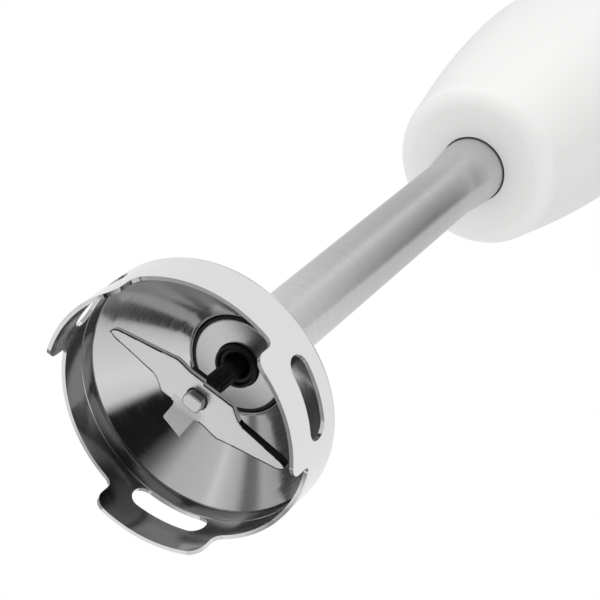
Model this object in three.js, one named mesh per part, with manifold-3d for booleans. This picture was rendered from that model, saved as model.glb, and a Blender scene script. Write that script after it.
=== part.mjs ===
// Immersion blender: a detachable steel blending foot with a three-lobed bell guard, and a white motor body.
// Millimetres, +Z up along the drive axis. The origin is on that axis, level with the lobes it stands on.
// Angles are in degrees about +Z, from +X. The buttons and the release face -X.

import * as THREE from "three";
import { mergeVertices } from "three/addons/utils/BufferGeometryUtils.js";
import Module from "manifold-3d";

const wasm = await Module();
wasm.setup();

// ---- Driving dimensions ----

const GAP = 0.3; // between two pieces that touch
const RUNNING_GAP = 0.1; // round a shaft that turns in a bore
const SLIDING_GAP = 0.4; // round a piece that slides

// Bell guard, from its rim upwards
const BELL_RADIUS = 33;
const BELL_WALL = 1;
const BELL_STRAIGHT = 11.3; // height of the inner straight wall above the rim
const DOME_RISE = 13.7; // from the top of the straight wall up to the bearing cap's face
const DOME_CROWN = 0.8; // how far the dome bows up from a plain cone
const NECK_RISE = 15; // from the cap's face to the neck's top edge
const NECK_WALL = 0.9;
const LOBE_COUNT = 3;
const LOBE_FIRST_ANGLE = 28.5;
const LOBE_SPAN = 53;
const LOBE_DROP = 8.1;
const LOBE_CORNER = 3.5;
const LOBE_FILLET = 2;
const SLOT_SPAN = 36;
const SLOT_HEIGHT = 6.6;

// Bearing cap and lip seal in the middle of the bell
const CAP_RADIUS = 11.65;
const CAP_GROOVE = 0.75; // the ring-shaped gap between the cap's face and the dome's edge
const CAP_THICKNESS = 3;
const SEAL_RADIUS = 5.5;
const SEAL_LIP_RADIUS = 4.8;
const SEAL_PROUD = 1.4;

// Blade
const BLADE_HEIGHT = 5.5; // its lower face above the rim
const BLADE_THICKNESS = 1.6;
const BLADE_ANGLE = 71.8;
const BLADE_REACH = 26;
const BLADE_HUB_LENGTH = 17;
const BLADE_HUB_WIDTH = 9.4;
const BLADE_BELLY = 6.2; // widest half-width, just outside the hub
const BLADE_TIP_WIDTH = 1.2;
const TAB_WIDTH = 6.6;
const TAB_LENGTH = 6;
const TAB_BEND = 60;
const TAB_OFFSET = -1.3; // centre of the tab along the blade
const HEAD_LENGTH = 5.2; // double-D head of the shaft
const HEAD_WIDTH = 4;
const HEAD_PROUD = 1.7;
const CARRIER_LENGTH = 9;
const CARRIER_WIDTH = 8.4;
const CARRIER_OFFSET = -1.2; // of its middle along the blade
const CARRIER_THICKNESS = 2;
const SLEEVE_WALL = 0.9;
const SLEEVE_FLUTES = 12;

// Foot tube, shaft, bushes and plug
const SHAFT_RADIUS = 2.5;
const SPINDLE_RADIUS = 1.75; // the shaft's thin end, inside the sleeve
const TUBE_RADIUS = 8.45;
const TUBE_WALL = 0.8;
const TUBE_FLARE = 1.12; // how much wider its upper end is
const TUBE_FLARE_LENGTH = 14;
const TUBE_FLARE_DROP = 3.1; // from the body's face down to its full width
const TUBE_INSERTION = 6; // how far the flared end goes into the motor body
const BUSH_WALL = 2.1;
const LOWER_BUSH_LENGTH = 13;
const UPPER_BUSH_LENGTH = 12;
const GUIDE_RISE = 59.9; // from the neck's top up to the shaft guide
const GUIDE_LENGTH = 5;
const PLUG_STEP = 0.37; // how far it stays inside the tube's flared end
const PLUG_LENGTH = 28; // above the tube's end
const PLUG_TAIL = 22; // inside the tube
const PLUG_WALL = 1.6;
const RING_GROOVE_WIDTH = 2.6;
const LATCH_GROOVE_WIDTH = 4;
const LATCH_GROOVE_DEPTH = 1.3;

// Motor body: outer form
const FACE_HEIGHT = 169.1; // its flat lower face
const FACE_RADIUS = 23.1;
const FACE_FILLET = 5.5;
const NOSE_SLOPE = 0.237; // how fast the nose widens at its face
const NOSE_ROUNDING = 0.00135; // how that widening dies away, per mm
const NOSE_LENGTH = 67;
const BODY_WIDEST = 32.95;
const GRIP_RADIUS = 29;
const GRIP_DROP = 38; // from the shells' upper edge down to the narrowest part of the grip
const SHELL_TOP_RADIUS = 29.8;
const SHELL_WALL = 2.4;
const TOP_CAP_HEIGHT = 18; // above the shells' upper edge
const CONTROLS_LENGTH = 70; // from the motor's upper bracket to the shells' upper edge
const CAP_FLAT_RADIUS = 21;
const SPIGOT_LENGTH = 5;

// Socket and release latch
const SOCKET_GAP = 0.5; // round the tube's flared end
const LINER_WALL = 2.2;
const LINER_LENGTH = 34;
const TUBE_BOSS_WALL = 1.9;
const LATCH_THICKNESS = 2;
const LATCH_RING_WALL = 2.5;
const LATCH_TRAVEL = 2.5;
const CATCH_WIDTH = 6;
const RELEASE_RADIUS = 7;
const RELEASE_PROUD = 1.2;
const SPRING_RADIUS = 2.2;
const SPRING_WIRE = 0.5;
const SPRING_TURNS = 4;

// Motor
const MOTOR_SHAFT_RADIUS = 3;
const STATOR_RADIUS = 23;
const STATOR_YOKE = 4.5;
const STATOR_LENGTH = 40;
const FAN_CLEARANCE = 6.1; // from the motor coupling up to the fan
const POLE_NECK_WIDTH = 12;
const POLE_SHOE = 1.7;
const POLE_SPAN = 120;
const ROTOR_RADIUS = 13;
const AIR_GAP = 0.5;
const ROTOR_SLOTS = 12;
const COIL_OVERHANG = 5.5;
const COMMUTATOR_RADIUS = 8;
const COMMUTATOR_LENGTH = 10;
const COMMUTATOR_BARS = 12;
const BALL_BEARING_RADIUS = 9.5;
const BALL_BEARING_WIDTH = 6;
const BRACKET_RADIUS = 24;
const BRACKET_THICKNESS = 2.5;
const FAN_RADIUS = 22;
const FAN_HEIGHT = 9;
const FAN_BLADES = 9;
const BRUSH_THICKNESS = 5;
const BRUSH_HEIGHT = 7;
const BRUSH_LENGTH = 9;
const HOLDER_WALL = 1;
const HOLDER_LENGTH = 17;
const COUPLING_RADIUS = 7.5;
const COUPLING_LENGTH = 15;
const DOG_LENGTH = 9; // tip to tip of the cross
const DOG_SHOULDER = 0.5; // how much wider a dog is than the shaft's radius
const DOG_HEIGHT = 6.5;

// Controls
const BEZEL_WIDTH = 20;
const BEZEL_LENGTH = 48;
const BEZEL_DROP = 13; // from the shells' upper edge down to it
const BEZEL_CORNER = 7;
const BEZEL_PROUD = 0.6;
const POWER_DROP = 11; // from the bezel's upper end down to its middle
const POWER_LENGTH = 13;
const TURBO_RISE = 15; // from the bezel's lower end up to its middle
const TURBO_LENGTH = 20;
const BUTTON_WIDTH = 13;
const BUTTON_PROUD = 1.8;
const BUTTON_TRAVEL = 2;
const BUTTON_BACK = 23.5; // its inner face, from the axis
const PLUNGER_RADIUS = 1.5;
const SWITCH_SIZE = [7.4, 11, 12.8];
const SWITCH_FRONT = 20.5; // face towards the button, from the axis
const BOARD_THICKNESS = 1.6;
const BOARD_WIDTH = 28;
const BOARD_LENGTH = 48;
const DIAL_RADIUS = 11.2;
const DIAL_HEIGHT = 7;
const DIAL_FLUTES = 12;
const DIAL_RECESS = 3;
const SPINDLE_OF_DIAL_RADIUS = 3;
const REGULATOR_RADIUS = 8;
const REGULATOR_HEIGHT = 8;
const GLAND_OFFSET = 19.5; // from the axis towards +X
const GLAND_RADIUS = 5.5;
const GLAND_BORE = 3.2;
const GLAND_PROUD = 7;
const CLAMP_SIZE = [10, 12, 5];
const SCREW_RADIUS = 1.4;
const SCREW_HEAD_RADIUS = 2.8;
const SCREW_HEAD_HEIGHT = 2;
const SCREW_LENGTH = 11;
const SCREW_OFFSET = 21.2; // from the axis along Y
const SCREW_RISE = 5.5; // from the motor's upper bracket; the top cap's lip holds the shells' upper ends
const SCREW_HEAD_FACE = 12; // outer face of the heads, from the joint plane

// Facets round a circle
const BELL_FACETS = 32;
const BODY_FACETS = 24;
const ROUND = 16;
const SMALL = 12;

// ---- Levels that follow from them ----

const RIM = LOBE_DROP;
const DOME_FOOT = RIM + BELL_STRAIGHT;
const CAP_FACE = DOME_FOOT + DOME_RISE;
const NECK_TOP = CAP_FACE + NECK_RISE;
const POCKET_RADIUS = CAP_RADIUS + CAP_GROOVE;
const TUBE_INNER = TUBE_RADIUS - TUBE_WALL;
const NECK_INNER = TUBE_RADIUS + GAP;
const POCKET_DEPTH = CAP_THICKNESS + GAP;
const TUBE_BOTTOM = CAP_FACE + POCKET_DEPTH + POCKET_RADIUS - NECK_INNER + GAP;
const TUBE_TOP = FACE_HEIGHT + TUBE_INSERTION;
const TUBE_FLARE_RADIUS = TUBE_RADIUS + TUBE_FLARE;
const TUBE_FLARE_END = FACE_HEIGHT - TUBE_FLARE_DROP;
const TUBE_FLARE_START = TUBE_FLARE_END - TUBE_FLARE_LENGTH;
const PLUG_RADIUS = TUBE_FLARE_RADIUS - PLUG_STEP;
const GUIDE_HEIGHT = NECK_TOP + GUIDE_RISE;
const LOWER_BUSH_BASE = CAP_FACE + CAP_THICKNESS + 4;
const LOWER_BUSH_TOP = LOWER_BUSH_BASE + LOWER_BUSH_LENGTH;
const PLUG_TOP = TUBE_TOP + PLUG_LENGTH;
const UPPER_BUSH_TOP = PLUG_TOP - 3;
const UPPER_BUSH_BASE = UPPER_BUSH_TOP - UPPER_BUSH_LENGTH;
const LATCH_LEVEL = TUBE_TOP + 17; // middle of the latch ring and of its groove
const RING_LEVEL = TUBE_TOP + 8;
const BLADE_FACE = RIM + BLADE_HEIGHT;
const BLADE_TOP = BLADE_FACE + BLADE_THICKNESS;
const CARRIER_BASE = BLADE_TOP + GAP;
const CARRIER_TOP = CARRIER_BASE + CARRIER_THICKNESS;
const SLEEVE_TOP = CAP_FACE + 1.5;
const SLEEVE_RADIUS = SPINDLE_RADIUS + SLEEVE_WALL;
const BUSH_RADIUS = SHAFT_RADIUS + RUNNING_GAP + BUSH_WALL;
const SHAFT_BASE = SLEEVE_TOP + GAP;
const SHAFT_CLIP_LEVEL = LOWER_BUSH_TOP + 1.2;
const FOOT_COUPLING_BASE = PLUG_TOP + 1;
const DOG_BASE = FOOT_COUPLING_BASE + 2.5;
const DOG_TOP = DOG_BASE + DOG_HEIGHT;
const MOTOR_COUPLING_BASE = DOG_BASE + GAP;
const MOTOR_COUPLING_TOP = MOTOR_COUPLING_BASE + COUPLING_LENGTH;
const SHAFT_TOP = DOG_BASE + 4;
const DOG_WIDTH = SHAFT_RADIUS + DOG_SHOULDER;
const MOTOR_SHAFT_BASE = DOG_TOP + 2.5;
const NOSE_TOP = FACE_HEIGHT + NOSE_LENGTH;
const SHELL_BASE = NOSE_TOP + GAP;
const FAN_TOP = MOTOR_COUPLING_TOP + FAN_CLEARANCE + FAN_HEIGHT;
const LOWER_BRACKET_BASE = FAN_TOP + 1.5;
const STATOR_BASE = LOWER_BRACKET_BASE + BALL_BEARING_WIDTH + 2 + COIL_OVERHANG;
const STATOR_TOP = STATOR_BASE + STATOR_LENGTH;
const COMMUTATOR_BASE = STATOR_TOP + COIL_OVERHANG + 1.5;
const COMMUTATOR_TOP = COMMUTATOR_BASE + COMMUTATOR_LENGTH;
const BRUSH_LEVEL = COMMUTATOR_BASE + COMMUTATOR_LENGTH / 2;
const UPPER_BRACKET_BASE = COMMUTATOR_TOP + 1;
const UPPER_BEARING_BASE = UPPER_BRACKET_BASE + GAP;
const SOCKET_RADIUS = TUBE_FLARE_RADIUS + SOCKET_GAP;
const LINER_BASE = FACE_HEIGHT + SHELL_WALL + GAP;
const LINER_OUTER = SOCKET_RADIUS + LINER_WALL;
const BOSS_INNER = LINER_OUTER + GAP;
const BOSS_OUTER = BOSS_INNER + TUBE_BOSS_WALL;
const BOSS_TOP = LINER_BASE + LINER_LENGTH - 2;
const CATCH_TIP = SOCKET_RADIUS - 0.3;
const RELEASE_BACK = BOSS_OUTER + LATCH_TRAVEL + LATCH_RING_WALL + 3; // its inner face, from the axis
const SHELL_TOP = UPPER_BRACKET_BASE + CONTROLS_LENGTH;
const GRIP_HEIGHT = SHELL_TOP - GRIP_DROP;
const CAP_BASE = SHELL_TOP + GAP;
const CAP_LIP_OUTER = SHELL_TOP_RADIUS - SHELL_WALL - GAP;
const CAP_LIP_INNER = CAP_LIP_OUTER - 1.6;
const CAP_TOP = SHELL_TOP + TOP_CAP_HEIGHT;
const BEZEL_HIGH = SHELL_TOP - BEZEL_DROP;
const BEZEL_LOW = BEZEL_HIGH - BEZEL_LENGTH;
const POWER_HEIGHT = BEZEL_HIGH - POWER_DROP;
const TURBO_HEIGHT = BEZEL_LOW + TURBO_RISE;
const SCREW_HEIGHT = UPPER_BRACKET_BASE + SCREW_RISE;
const RECESS_FLOOR = CAP_TOP - DIAL_RECESS;
const REGULATOR_TOP = RECESS_FLOOR - SHELL_WALL - GAP;
const BOARD_LOW = (BEZEL_LOW + BEZEL_HIGH) / 2 - BOARD_LENGTH / 2 + 4;
const SWITCH_BACK = SWITCH_FRONT - SWITCH_SIZE[0];

// ---- Materials: colour, roughness, metalness ----

const finishes = {
  polished_steel: [0xe2e2e0, 0.12, 1],
  brushed_steel: [0xc4c4c2, 0.32, 1],
  ground_steel: [0xcfcfcd, 0.28, 1],
  shaft_steel: [0xb0b0b0, 0.3, 1],
  white_plastic: [0xf4f4f2, 0.3, 0],
  grey_plastic: [0x8b8d90, 0.5, 0],
  black_plastic: [0x17171a, 0.45, 0],
  black_rubber: [0x101012, 0.7, 0],
  sintered_bronze: [0x9a6b3c, 0.45, 1],
  lamination: [0x6d7075, 0.5, 1],
  copper: [0xb4633a, 0.35, 1],
  carbon: [0x2a2a2c, 0.6, 0],
  circuit_board: [0x1f5b3a, 0.5, 0],
  spring_steel: [0xa8a8aa, 0.3, 1],
};

const blender = new THREE.Group();
blender.name = "immersion_blender";

function part(name, finish, shape) {
  const [color, roughness, metalness] = finishes[finish];
  const material = new THREE.MeshStandardMaterial({ color, roughness, metalness });
  material.name = finish;
  const mesh = new THREE.Mesh(shape.isBufferGeometry ? shape : geometryOf(shape), material);
  mesh.name = name;
  blender.add(mesh);
}

// ---- Shapes, each a manifold solid ----

const radians = THREE.MathUtils.degToRad;

function solid(geometry) {
  const bare = geometry.clone();
  bare.deleteAttribute("normal");
  bare.deleteAttribute("uv");
  const merged = mergeVertices(bare, 1e-4);
  return new wasm.Manifold(new wasm.Mesh({
    numProp: 3,
    vertProperties: merged.attributes.position.array,
    triVerts: new Uint32Array(merged.index.array),
  }));
}

function geometryOf(manifold) {
  const mesh = manifold.getMesh();
  const geometry = new THREE.BufferGeometry();
  geometry.setAttribute("position", new THREE.BufferAttribute(mesh.vertProperties, 3));
  geometry.setIndex(new THREE.BufferAttribute(mesh.triVerts, 1));
  geometry.computeVertexNormals();
  return geometry;
}

const join = (first, ...others) => others.reduce((sum, other) => sum.add(other), first);
const cut = (first, ...others) => others.reduce((rest, other) => rest.subtract(other), first);

// A profile of [radius, height] points turned about +Z. One that misses the axis is closed into a ring.
function turned(profile, facets = ROUND) {
  const area = profile.reduce((sum, [r, z], i) => {
    const [nextR, nextZ] = profile[(i + 1) % profile.length];
    return sum + r * nextZ - nextR * z;
  }, 0);
  const ordered = area > 0 ? [...profile] : [...profile].reverse();
  const touchesAxis = ordered.some(([r]) => r === 0);
  while (touchesAxis && (ordered[0][0] !== 0 || ordered[ordered.length - 1][0] !== 0)) {
    ordered.push(ordered.shift());
  }
  if (!touchesAxis) ordered.push(ordered[0]);
  const points = ordered.map(([r, z]) => new THREE.Vector2(r, z));
  return solid(new THREE.LatheGeometry(points, facets).rotateX(Math.PI / 2));
}

const cylinder = (radius, low, high, facets = ROUND) =>
  turned([[0, low], [radius, low], [radius, high], [0, high]], facets);

const ring = (inner, outer, low, high, facets = ROUND) =>
  turned([[inner, low], [outer, low], [outer, high], [inner, high]], facets);

function block(low, high) {
  const size = high.map((top, i) => top - low[i]);
  const middle = high.map((top, i) => (top + low[i]) / 2);
  return solid(new THREE.BoxGeometry(...size).translate(...middle));
}

// A flat outline in the XY plane, raised from low to high.
function raised(shape, low, high, steps = 4) {
  const geometry = new THREE.ExtrudeGeometry(shape, {
    depth: high - low,
    bevelEnabled: false,
    curveSegments: steps,
  });
  return solid(geometry.translate(0, 0, low));
}

// An outline in the YZ plane, run along X from low to high.
function alongX(shape, low, high, steps = 3) {
  const geometry = new THREE.ExtrudeGeometry(shape, {
    depth: high - low,
    bevelEnabled: false,
    curveSegments: steps,
  });
  return solid(geometry.rotateX(Math.PI / 2).rotateZ(Math.PI / 2).translate(low, 0, 0));
}

const rodX = (radius, low, high, y, z, facets = SMALL) =>
  cylinder(radius, low, high, facets).rotate([0, 90, 0]).translate([0, y, z]);

function roundedRectangle(width, height, corner, x = 0, y = 0) {
  const shape = new THREE.Shape();
  const [w, h] = [width / 2, height / 2];
  shape.absarc(x + w - corner, y + h - corner, corner, 0, Math.PI / 2);
  shape.absarc(x - w + corner, y + h - corner, corner, Math.PI / 2, Math.PI);
  shape.absarc(x - w + corner, y - h + corner, corner, Math.PI, 1.5 * Math.PI);
  shape.absarc(x + w - corner, y - h + corner, corner, 1.5 * Math.PI, 2 * Math.PI);
  return shape;
}

// A toothed outline: count teeth between the two radii, each filling share of its pitch.
function toothed(inner, outer, count, share) {
  const shape = new THREE.Shape();
  const pitch = (2 * Math.PI) / count;
  for (let tooth = 0; tooth < count; tooth++) {
    const start = tooth * pitch;
    const corners = [[outer, 0], [outer, share], [inner, share], [inner, 1]];
    for (const [radius, along] of corners) {
      const angle = start + along * pitch;
      const point = [radius * Math.cos(angle), radius * Math.sin(angle)];
      if (shape.curves.length === 0 && shape.currentPoint.length() === 0) shape.moveTo(...point);
      else shape.lineTo(...point);
    }
  }
  return shape;
}

function cross(length, width) {
  const [l, w] = [length / 2, width / 2];
  const corners = [[l, -w], [l, w], [w, w], [w, l], [-w, l], [-w, w],
    [-l, w], [-l, -w], [-w, -w], [-w, -l], [w, -l], [w, -w]];
  return new THREE.Shape(corners.map(([x, y]) => new THREE.Vector2(x, y)));
}

// An outline drawn as [arc length, height] on the bell's wall, wrapped round the axis between two radii.
function wrapped(outline, inner, outer) {
  const geometry = new THREE.ExtrudeGeometry(new THREE.Shape(outline), { depth: 1, bevelEnabled: false });
  const position = geometry.attributes.position;
  for (let i = 0; i < position.count; i++) {
    const angle = position.getX(i) / BELL_RADIUS;
    const radius = inner + (outer - inner) * position.getZ(i);
    position.setXYZ(i, radius * Math.cos(angle), radius * Math.sin(angle), position.getY(i));
  }
  return solid(geometry);
}

// ---- Outer form of the motor body ----

const noseRadius = (z) => {
  const rise = z - FACE_HEIGHT;
  return Math.min(FACE_RADIUS + NOSE_SLOPE * rise - NOSE_ROUNDING * rise * rise, BODY_WIDEST);
};

const shellCurve = new THREE.SplineCurve([
  new THREE.Vector2(noseRadius(NOSE_TOP), NOSE_TOP),
  new THREE.Vector2(BODY_WIDEST - 0.05, NOSE_TOP + 14),
  new THREE.Vector2((BODY_WIDEST + GRIP_RADIUS) / 2 + 0.7, (NOSE_TOP + GRIP_HEIGHT) / 2 + 2),
  new THREE.Vector2(GRIP_RADIUS, GRIP_HEIGHT),
  new THREE.Vector2(SHELL_TOP_RADIUS, SHELL_TOP),
]);

const nosePoints = (offset) => Array.from({ length: 6 }, (_, i) => {
  const z = FACE_HEIGHT + FACE_FILLET + ((NOSE_LENGTH - FACE_FILLET) * i) / 5;
  return [noseRadius(z) + offset, z];
});

const shellPoints = (offset) => shellCurve.getPoints(8).map(({ x, y }) => [x + offset, y]);

function faceFillet(offset) {
  const radius = FACE_FILLET + offset;
  return [-90, -60, -30].map((angle) => [
    FACE_RADIUS - FACE_FILLET + radius * Math.cos(radians(angle)),
    FACE_HEIGHT + FACE_FILLET + radius * Math.sin(radians(angle)),
  ]);
}

// Everything inside the body's skin, moved outwards by offset.
function bodyForm(offset) {
  const skin = [...faceFillet(offset), ...nosePoints(offset), ...shellPoints(offset).slice(1)];
  return turned([[0, skin[0][1]], ...skin, [0, SHELL_TOP]], BODY_FACETS);
}

// ---- Blending foot ----

function domeCurve(offset) {
  const steps = 4;
  return Array.from({ length: steps + 1 }, (_, i) => {
    const t = i / steps;
    const start = BELL_RADIUS - BELL_WALL;
    const bow = DOME_CROWN * 4 * t * (1 - t);
    const out = bow + offset;
    return [start + (POCKET_RADIUS - start) * t + 0.6 * out, DOME_FOOT + DOME_RISE * t + 0.8 * out];
  });
}

function gapOutline() {
  const halfGap = (radians(360 / LOBE_COUNT - LOBE_SPAN) * BELL_RADIUS) / 2;
  const path = new THREE.Path();
  const below = -1;
  path.moveTo(-halfGap - LOBE_CORNER, below);
  path.lineTo(-halfGap - LOBE_CORNER, 0);
  path.absarc(-halfGap - LOBE_CORNER, LOBE_CORNER, LOBE_CORNER, -Math.PI / 2, 0, false);
  path.absarc(-halfGap + LOBE_FILLET, RIM - LOBE_FILLET, LOBE_FILLET, Math.PI, Math.PI / 2, true);
  for (let i = 1; i < 6; i++) {
    path.lineTo(-halfGap + LOBE_FILLET + ((2 * halfGap - 2 * LOBE_FILLET) * i) / 6, RIM);
  }
  path.absarc(halfGap - LOBE_FILLET, RIM - LOBE_FILLET, LOBE_FILLET, Math.PI / 2, 0, true);
  path.absarc(halfGap + LOBE_CORNER, LOBE_CORNER, LOBE_CORNER, Math.PI, 1.5 * Math.PI, false);
  path.lineTo(halfGap + LOBE_CORNER, below);
  return path.getPoints(2);
}

function slotOutline() {
  const end = SLOT_HEIGHT / 2;
  const half = (radians(SLOT_SPAN) * BELL_RADIUS) / 2 - end;
  const path = new THREE.Path();
  path.absarc(half, RIM + end, end, -Math.PI / 2, Math.PI / 2, false);
  path.lineTo(0, RIM + SLOT_HEIGHT);
  path.absarc(-half, RIM + end, end, Math.PI / 2, 1.5 * Math.PI, false);
  path.lineTo(0, RIM);
  return path.getPoints(3);
}

function bladeGuard() {
  const inside = BELL_RADIUS - BELL_WALL;
  const shoulder = 2.5;
  const neckOuter = NECK_INNER + NECK_WALL;
  const pocketTop = CAP_FACE + POCKET_DEPTH;
  const inner = [
    [inside, 0],
    ...domeCurve(0),
    [POCKET_RADIUS, pocketTop],
    [NECK_INNER, pocketTop + POCKET_RADIUS - NECK_INNER],
    [NECK_INNER, NECK_TOP],
  ];
  const outer = [
    [neckOuter, NECK_TOP],
    [neckOuter + 0.3, NECK_TOP - 8],
    [neckOuter + 1.6, pocketTop + 6],
    [POCKET_RADIUS + 2.4, CAP_FACE + 2.6],
    ...domeCurve(BELL_WALL).slice(2, -1).reverse(),
    [BELL_RADIUS - 0.25 * shoulder, DOME_FOOT + 1.4],
    [BELL_RADIUS, DOME_FOOT - 0.6],
    [BELL_RADIUS, 0],
  ];
  const shell = turned([...inner, ...outer], BELL_FACETS);
  const pitch = 360 / LOBE_COUNT;
  const gap = wrapped(gapOutline(), BELL_RADIUS - 6, BELL_RADIUS * 1.5);
  const slot = wrapped(slotOutline(), BELL_RADIUS - 4, BELL_RADIUS * 1.5);
  const cutters = Array.from({ length: LOBE_COUNT }, (_, i) => {
    const angle = LOBE_FIRST_ANGLE + i * pitch;
    return [gap.rotate([0, 0, angle + pitch / 2]), slot.rotate([0, 0, angle])];
  });
  return cut(shell, ...cutters.flat());
}

function bearingCap() {
  const hub = TUBE_INNER - GAP;
  const boreTop = LOWER_BUSH_TOP + GAP;
  const seat = SEAL_RADIUS + GAP;
  return turned([
    [seat, CAP_FACE], [CAP_RADIUS, CAP_FACE], [CAP_RADIUS, CAP_FACE + CAP_THICKNESS],
    [hub, CAP_FACE + CAP_THICKNESS], [hub, boreTop + 1], [SHAFT_RADIUS + 2, boreTop + 1],
    [SHAFT_RADIUS + 2, boreTop], [BUSH_RADIUS + GAP, boreTop], [BUSH_RADIUS + GAP, LOWER_BUSH_BASE - GAP],
    [seat, LOWER_BUSH_BASE - GAP],
  ]);
}

function lipSeal() {
  const bore = SLEEVE_RADIUS + GAP;
  const bottom = CAP_FACE - SEAL_PROUD;
  return turned([
    [SEAL_LIP_RADIUS, bottom], [SEAL_RADIUS, bottom], [SEAL_RADIUS, CAP_FACE + 4], [bore + 0.8, CAP_FACE + 4],
    [bore, CAP_FACE + 0.4], [bore, bottom + 1.6], [SEAL_LIP_RADIUS - 0.6, bottom + 0.9],
  ], SMALL * 2);
}

const bush = (low, high) => ring(SHAFT_RADIUS + RUNNING_GAP, BUSH_RADIUS, low, high);

function shaftTube() {
  const flareInner = TUBE_FLARE_RADIUS - TUBE_WALL;
  const outer = [[TUBE_RADIUS, TUBE_BOTTOM]];
  for (let i = 0; i <= 5; i++) {
    const t = i / 5;
    const ease = t * t * (3 - 2 * t);
    outer.push([
      TUBE_RADIUS + (TUBE_FLARE_RADIUS - TUBE_RADIUS) * ease,
      TUBE_FLARE_START + (TUBE_FLARE_END - TUBE_FLARE_START) * t,
    ]);
  }
  return turned([
    ...outer, [TUBE_FLARE_RADIUS, TUBE_TOP], [flareInner, TUBE_TOP], [flareInner, TUBE_FLARE_END],
    [TUBE_INNER, TUBE_FLARE_START], [TUBE_INNER, TUBE_BOTTOM],
  ]);
}

function shaftGuide() {
  const body = ring(SHAFT_RADIUS + 0.4, TUBE_INNER - GAP, GUIDE_HEIGHT, GUIDE_HEIGHT + GUIDE_LENGTH);
  const flutes = [0, 120, 240].map((angle) =>
    cylinder(2, GUIDE_HEIGHT - 1, GUIDE_HEIGHT + GUIDE_LENGTH + 1, 12)
      .translate([TUBE_INNER, 0, 0])
      .rotate([0, 0, angle]));
  return cut(body, ...flutes);
}

function footPlug() {
  const ringLow = RING_LEVEL - RING_GROOVE_WIDTH / 2;
  const latchLow = LATCH_LEVEL - LATCH_GROOVE_WIDTH / 2;
  const tail = TUBE_INNER - GAP;
  const hollow = SHAFT_RADIUS + 1;
  const seat = BUSH_RADIUS + GAP;
  return turned([
    [tail - PLUG_WALL, TUBE_TOP - PLUG_TAIL], [tail, TUBE_TOP - PLUG_TAIL], [tail, TUBE_TOP + GAP],
    [TUBE_FLARE_RADIUS, TUBE_TOP + GAP], [TUBE_FLARE_RADIUS, TUBE_TOP + 3],
    [PLUG_RADIUS, TUBE_TOP + 3.4], [PLUG_RADIUS, ringLow],
    [PLUG_RADIUS - 1.4, ringLow], [PLUG_RADIUS - 1.4, ringLow + RING_GROOVE_WIDTH],
    [PLUG_RADIUS, ringLow + RING_GROOVE_WIDTH], [PLUG_RADIUS, latchLow],
    [PLUG_RADIUS - LATCH_GROOVE_DEPTH, latchLow],
    [PLUG_RADIUS - LATCH_GROOVE_DEPTH, latchLow + LATCH_GROOVE_WIDTH],
    [PLUG_RADIUS, latchLow + LATCH_GROOVE_WIDTH], [PLUG_RADIUS, PLUG_TOP - 1.5],
    [PLUG_RADIUS - 1.2, PLUG_TOP], [seat, PLUG_TOP], [seat, UPPER_BUSH_BASE - GAP],
    [hollow, UPPER_BUSH_BASE - GAP], [hollow, TUBE_TOP], [tail - PLUG_WALL, TUBE_TOP - 3],
  ]);
}

function roundRing(major, minor, level) {
  const facets = 6;
  const profile = Array.from({ length: facets }, (_, i) => {
    const angle = (2 * Math.PI * i) / facets;
    return [major + minor * Math.cos(angle), level + minor * Math.sin(angle)];
  });
  return turned(profile);
}

// ---- Blade unit ----

function doubleD(length, width, low, high) {
  const full = cylinder(length / 2, low, high, SMALL);
  const flats = block([-length, -width / 2, low - 1], [length, width / 2, high + 1]);
  return full.intersect(flats).rotate([0, 0, BLADE_ANGLE]);
}

function driveShaft() {
  const clip = SHAFT_CLIP_LEVEL;
  const rod = turned([
    [0, BLADE_FACE], [SPINDLE_RADIUS, BLADE_FACE], [SPINDLE_RADIUS, SHAFT_BASE], [SHAFT_RADIUS, SHAFT_BASE],
    [SHAFT_RADIUS, clip - 0.7], [SHAFT_RADIUS - 0.6, clip - 0.7], [SHAFT_RADIUS - 0.6, clip + 0.7],
    [SHAFT_RADIUS, clip + 0.7], [SHAFT_RADIUS, SHAFT_TOP], [0, SHAFT_TOP],
  ]);
  return join(rod, doubleD(HEAD_LENGTH, HEAD_WIDTH, BLADE_FACE - HEAD_PROUD, BLADE_TOP));
}

// The carrier's block lies on the blade, and its fluted sleeve runs up the spindle into the seal.
function bladeCarrier() {
  const base = block(
    [CARRIER_OFFSET - CARRIER_LENGTH / 2, -CARRIER_WIDTH / 2, CARRIER_BASE],
    [CARRIER_OFFSET + CARRIER_LENGTH / 2, CARRIER_WIDTH / 2, CARRIER_TOP],
  ).rotate([0, 0, BLADE_ANGLE]);
  const plain = cylinder(SLEEVE_RADIUS, CARRIER_TOP - 1, SLEEVE_TOP, SLEEVE_FLUTES * 2);
  const fluted = raised(toothed(SLEEVE_RADIUS - 0.25, SLEEVE_RADIUS, SLEEVE_FLUTES, 0.5),
    CARRIER_TOP - 1, CAP_FACE - SEAL_PROUD - 1);
  const bore = cylinder(SPINDLE_RADIUS + GAP, 0, NECK_TOP, SMALL);
  const inSeal = plain.intersect(block([-9, -9, CAP_FACE - SEAL_PROUD - 1], [9, 9, NECK_TOP]));
  return cut(join(base, inSeal, fluted), bore);
}

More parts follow.
